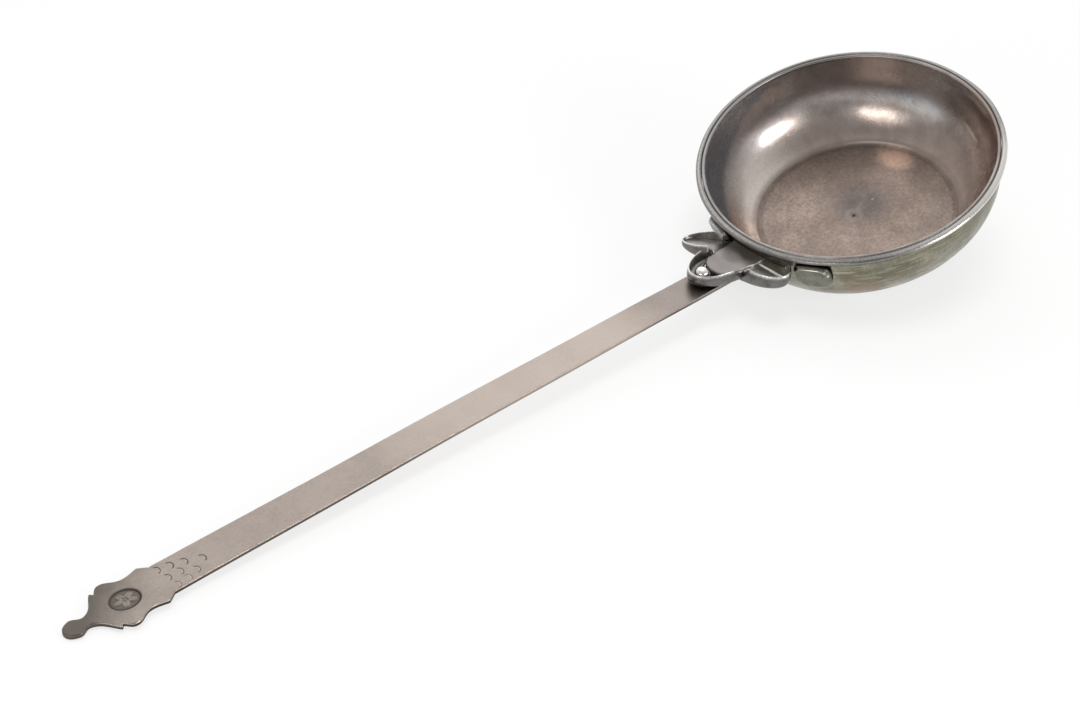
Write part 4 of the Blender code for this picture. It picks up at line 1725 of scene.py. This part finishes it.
@dataclass
class WingPetal(BowlPiece):
    """A leaf that lies on the bowl's wall under the rim."""

    slot: Slot = Slot.WING
    finish: Silver = WING
    side: int = 1
    from_tongue: float = 9.0
    half_length: float = 5.6
    half_height: float = 5.2
    mid_height: float = 17.7
    thick: float = 1.9
    lip: float = 0.28
    dip: float = 0.25
    shade: float = 0.0
    around: int = 120

    def sheet(self) -> Sheet:
        """Stack rings from the crown to the edge and back under the leaf.

        Returns:
            The leaf.
        """
        shares = np.concatenate([np.linspace(0.0, 0.8, 16), np.linspace(0.83, 1.0, 18)])
        angles = np.arange(self.around) * TURN / self.around
        blunt = np.where(np.sin(angles) > 0, 0.6, 0.9)
        wide, tall = power(np.cos(angles), blunt), power(np.sin(angles), blunt)
        upper = 0.5 + 0.5 * tall
        # Painted glints: two bright dots near the top of the lip.
        glint_dots = bell(angles, 0.32, 0.1) + bell(angles, 0.8, 0.1)
        middle = HANDLE.tongue_root / 2 + self.from_tongue + self.half_length
        points, worn, deep = [], [], []
        for share, front in [(share, 1) for share in shares] + [(share, 0) for share in shares[-2::-1]]:
            height = self.mid_height + self.half_height * share * tall
            crown = self.thick * (0.35 + 0.65 * (0.5 + 0.5 * share * tall)) * (1 - share**4.5) ** 0.5
            lip = self.lip * bell(share, 0.84, 0.06) * upper
            out = np.maximum(crown + lip - self.dip * bell(share, 0.0, 0.5), 0.0) * front
            turned = math.pi + self.side * (middle + self.half_length * share * wide) / BOWL.wall_radius
            points.append(polar(BOWL.outer(height) + BOWL.gap + out, turned, height))
            # Lip brightens with wear and painted glints; top edge and hidden back get painted shade.
            lip_wear_and_glint = bell(share, 0.86, 0.07) * front
            worn.append(lip_wear_and_glint * np.maximum(smooth(0.6, 1.0, upper) * 0.6, glint_dots))
            dark = np.maximum(self.shade, smooth(0.93, 1.0, share) * upper)
            deep.append(dark if front else np.ones(self.around))
        faces = grid_faces(len(points), self.around, False, True)
        return Sheet(np.concatenate(points), faces, np.concatenate(worn), np.concatenate(deep))


@dataclass
class Rivet(Piece):
    """The domed rivet, with a hammered head and its closed tail."""

    node: str = "handle_rivet"
    slot: Slot = Slot.RIVET
    finish: Silver = RIVET
    around: int = 72
    head_radius: float = 2.3
    head_low: float = 1.4
    head_top: float = 4.75
    shank: tuple = ((2.0, 1.25), (1.0, 1.2), (1.0, -1.72))
    tail: tuple = ((1.5, -1.72), (1.55, -1.85), (1.2, -2.1), (0.0, -2.2))

    def sheet(self) -> Sheet:
        """Revolve the head, the shank and the tail, then leave hammer marks.

        Returns:
            The rivet.
        """
        turn = np.linspace(0, QUARTER, 20)
        rise = (self.head_top - self.head_low) * np.cos(turn) ** 0.7
        head = spread(self.head_radius * np.sin(turn) ** 0.75, self.head_low + rise, 0.9 - 0.4 * turn, 0.0)
        # The shank and the tail, hidden under the head, are darkened as painted shade.
        below = np.array(self.shank + self.tail)
        section = np.concatenate([head, spread(below[:, 0], below[:, 1], 0.3, 0.6)])
        turned, radius, height, worn, deep = revolve(section, self.around)
        points = polar(radius, turned, height)
        radius = radius * (1 + 0.05 * np.minimum(ripple(points, 3.0, 61), 0.4) * (height > 1.5))
        height = height - 0.16 * np.maximum(0, ripple(points, 2.2, 62)) * (height > 3.0)
        points = polar(radius, turned, height) + (HANDLE.rivet_along, 0.0, 0.0)
        return Sheet(points, grid_faces(self.around, len(section), True, False), worn, deep)


@dataclass(frozen=True)
class Lamp:
    """A soft lamp, placed by direction.

    Attributes:
        name: Its name.
        azimuth: Direction round the object, in degrees.
        elevation: Height, in degrees.
        distance: From the object's middle, in metres.
        size: Width and height, in metres.
        radiance: Brightness of its face.
        colour: Its colour.
        in_metal: Whether it shows as a reflection.
    """

    name: str
    azimuth: float
    elevation: float
    distance: float
    size: tuple[float, float]
    radiance: float
    colour: Colour = (1.0, 1.0, 1.0)
    in_metal: bool = True

    def add(self) -> None:
        """Hang the lamp."""
        light = bpy.data.lights.new(self.name, "AREA")
        light.shape = "RECTANGLE"
        light.size, light.size_y = self.size
        light.energy = self.radiance * math.pi * self.size[0] * self.size[1]
        light.color = self.colour
        lamp = bpy.data.objects.new(self.name, light)
        turn, lift = math.radians(self.azimuth), math.radians(self.elevation)
        level = math.cos(lift)
        direction = Vector((math.cos(turn) * level, math.sin(turn) * level, math.sin(lift)))
        lamp.location = direction * self.distance
        lamp.rotation_euler = direction.to_track_quat("Z", "Y").to_euler()
        lamp.visible_camera = False
        lamp.visible_glossy = self.in_metal
        bpy.context.scene.collection.objects.link(lamp)


LAMPS = (
    Lamp("back_window", 62.0, 44.0, 1.3, (1.5, 1.0), 0.35),
    Lamp("overhead", -135.0, 84.0, 1.6, (0.7, 0.7), 5.6, in_metal=False),
    Lamp("right_lamp", -76.0, 25.0, 1.1, (0.50, 0.26), 7.6, (1.0, 0.97, 0.93)),
    Lamp("left_lamp", -165.0, 24.0, 1.1, (0.52, 0.24), 5.0, (1.0, 0.97, 0.93)),
)


@dataclass
class Stage:
    """Floor, light and camera."""

    floor_size: float = 4.0
    floor_low: float = 0.0002
    floor_colour: Colour = (0.95, 0.95, 0.95)
    floor_rough: float = 0.9
    floor_white: float = 0.73
    room_front: float = 0.30
    room_back: float = 0.78
    room_fade: tuple[float, float] = (-0.9, 0.7)
    lens: float = 80.0
    film: float = 36.0
    roll: float = math.radians(2.5)
    eye: tuple[float, float, float] = (-0.36303, -0.37824, 0.38417)
    look: tuple[float, float, float] = (0.5574, 0.5917, -0.5825)

    def floor(self) -> None:
        """Lay a pale floor that is white to the eye and keeps the shadow."""
        size = self.floor_size
        mesh = bpy.data.meshes.new("floor")
        corners = [(-size, -size, 0.0), (size, -size, 0.0), (size, size, 0.0), (-size, size, 0.0)]
        mesh.from_pydata(corners, [], [(0, 1, 2, 3)])
        floor = bpy.data.objects.new("floor", mesh)
        floor.location.z = -self.floor_low
        bpy.context.scene.collection.objects.link(floor)
        graph = Graph(bpy.data.materials.new("pale_floor"))
        graph.dress({"Base Color": (*self.floor_colour, 1.0), "Roughness": self.floor_rough})
        graph.dress({"Specular IOR Level": 0.0})
        camera = graph.add("ShaderNodeLightPath", {}, "Is Camera Ray")
        seen = camera.maths("MAXIMUM", camera, camera.beside("Is Glossy Ray"))
        seen = camera.maths("MAXIMUM", seen, camera.beside("Is Transmission Ray"))
        white = graph.add("ShaderNodeEmission", {"Color": (1.0, 1.0, 1.0, 1.0), "Strength": 1.0})
        lit = Value(graph, graph.shader.outputs[0])
        mix = graph.add("ShaderNodeMixShader", {0: seen * self.floor_white, 1: lit, 2: white})
        graph.feed(graph.tree.nodes["Material Output"].inputs["Surface"], mix)
        mesh.materials.append(graph.owner)

    def light(self) -> None:
        """Set the room's light, paler at the back, and hang the lamps."""
        world = bpy.data.worlds.new("room")
        bpy.context.scene.world = world
        graph = Graph(world)
        way = graph.add("ShaderNodeTexCoord", {}, "Generated")
        back = Vector((self.look[0], self.look[1], 0.0)).normalized()
        toward = {0: way, 1: tuple(back)}
        toward = graph.add("ShaderNodeVectorMath", toward, "Value", operation="DOT_PRODUCT")
        front, rear = (self.room_front,) * 3, (self.room_back,) * 3
        shade = graph.blend(toward.step(*self.room_fade), front, rear)
        graph.feed(graph.tree.nodes["Background"].inputs["Color"], shade)
        for lamp in LAMPS:
            lamp.add()

    def camera(self) -> None:
        """Stand the camera where the photograph was taken."""
        forward = Vector(self.look).normalized()
        level = forward.cross(Vector((0.0, 0.0, 1.0))).normalized()
        upright = level.cross(forward)
        right = level * math.cos(self.roll) + upright * math.sin(self.roll)
        top = upright * math.cos(self.roll) - level * math.sin(self.roll)
        turn = Matrix((right, top, -forward)).transposed().to_4x4()
        lens = bpy.data.cameras.new("camera")
        lens.lens = self.lens
        lens.sensor_width = self.film
        camera = bpy.data.objects.new("camera", lens)
        camera.matrix_world = Matrix.Translation(self.eye) @ turn
        bpy.context.scene.collection.objects.link(camera)
        bpy.context.scene.camera = camera

    def add(self) -> None:
        """Set up the whole stage."""
        self.floor()
        self.light()
        self.camera()
        bpy.context.scene.view_settings.view_transform = "Standard"


def main() -> None:
    """Build the looks."""
    logging.basicConfig(level=logging.INFO, format="%(name)s: %(message)s")
    Stage().add()
    strap = Strap()
    pieces = (
        Bowl(),
        RimWire(),
        strap,
        Tongue(),
        CentrePetal(),
        SidePetal(node="right_petal", seed=52, midrib=0.72, lobe=RIGHT_LOBE, dish=LIT_DISH),
        SidePetal(node="left_petal", seed=53, lobe=LEFT_LOBE),
        WingPetal(node="right_wing_petal", side=1, from_tongue=9.0),
        WingPetal(
            node="left_wing_petal", finish=PETAL, side=-1, from_tongue=0.8, thick=2.3, shade=0.15
        ),
        Rivet(),
        PunchBurrs(strap=strap),
    )
    for piece in pieces:
        piece.add()


if __name__ == "__main__":
    main()
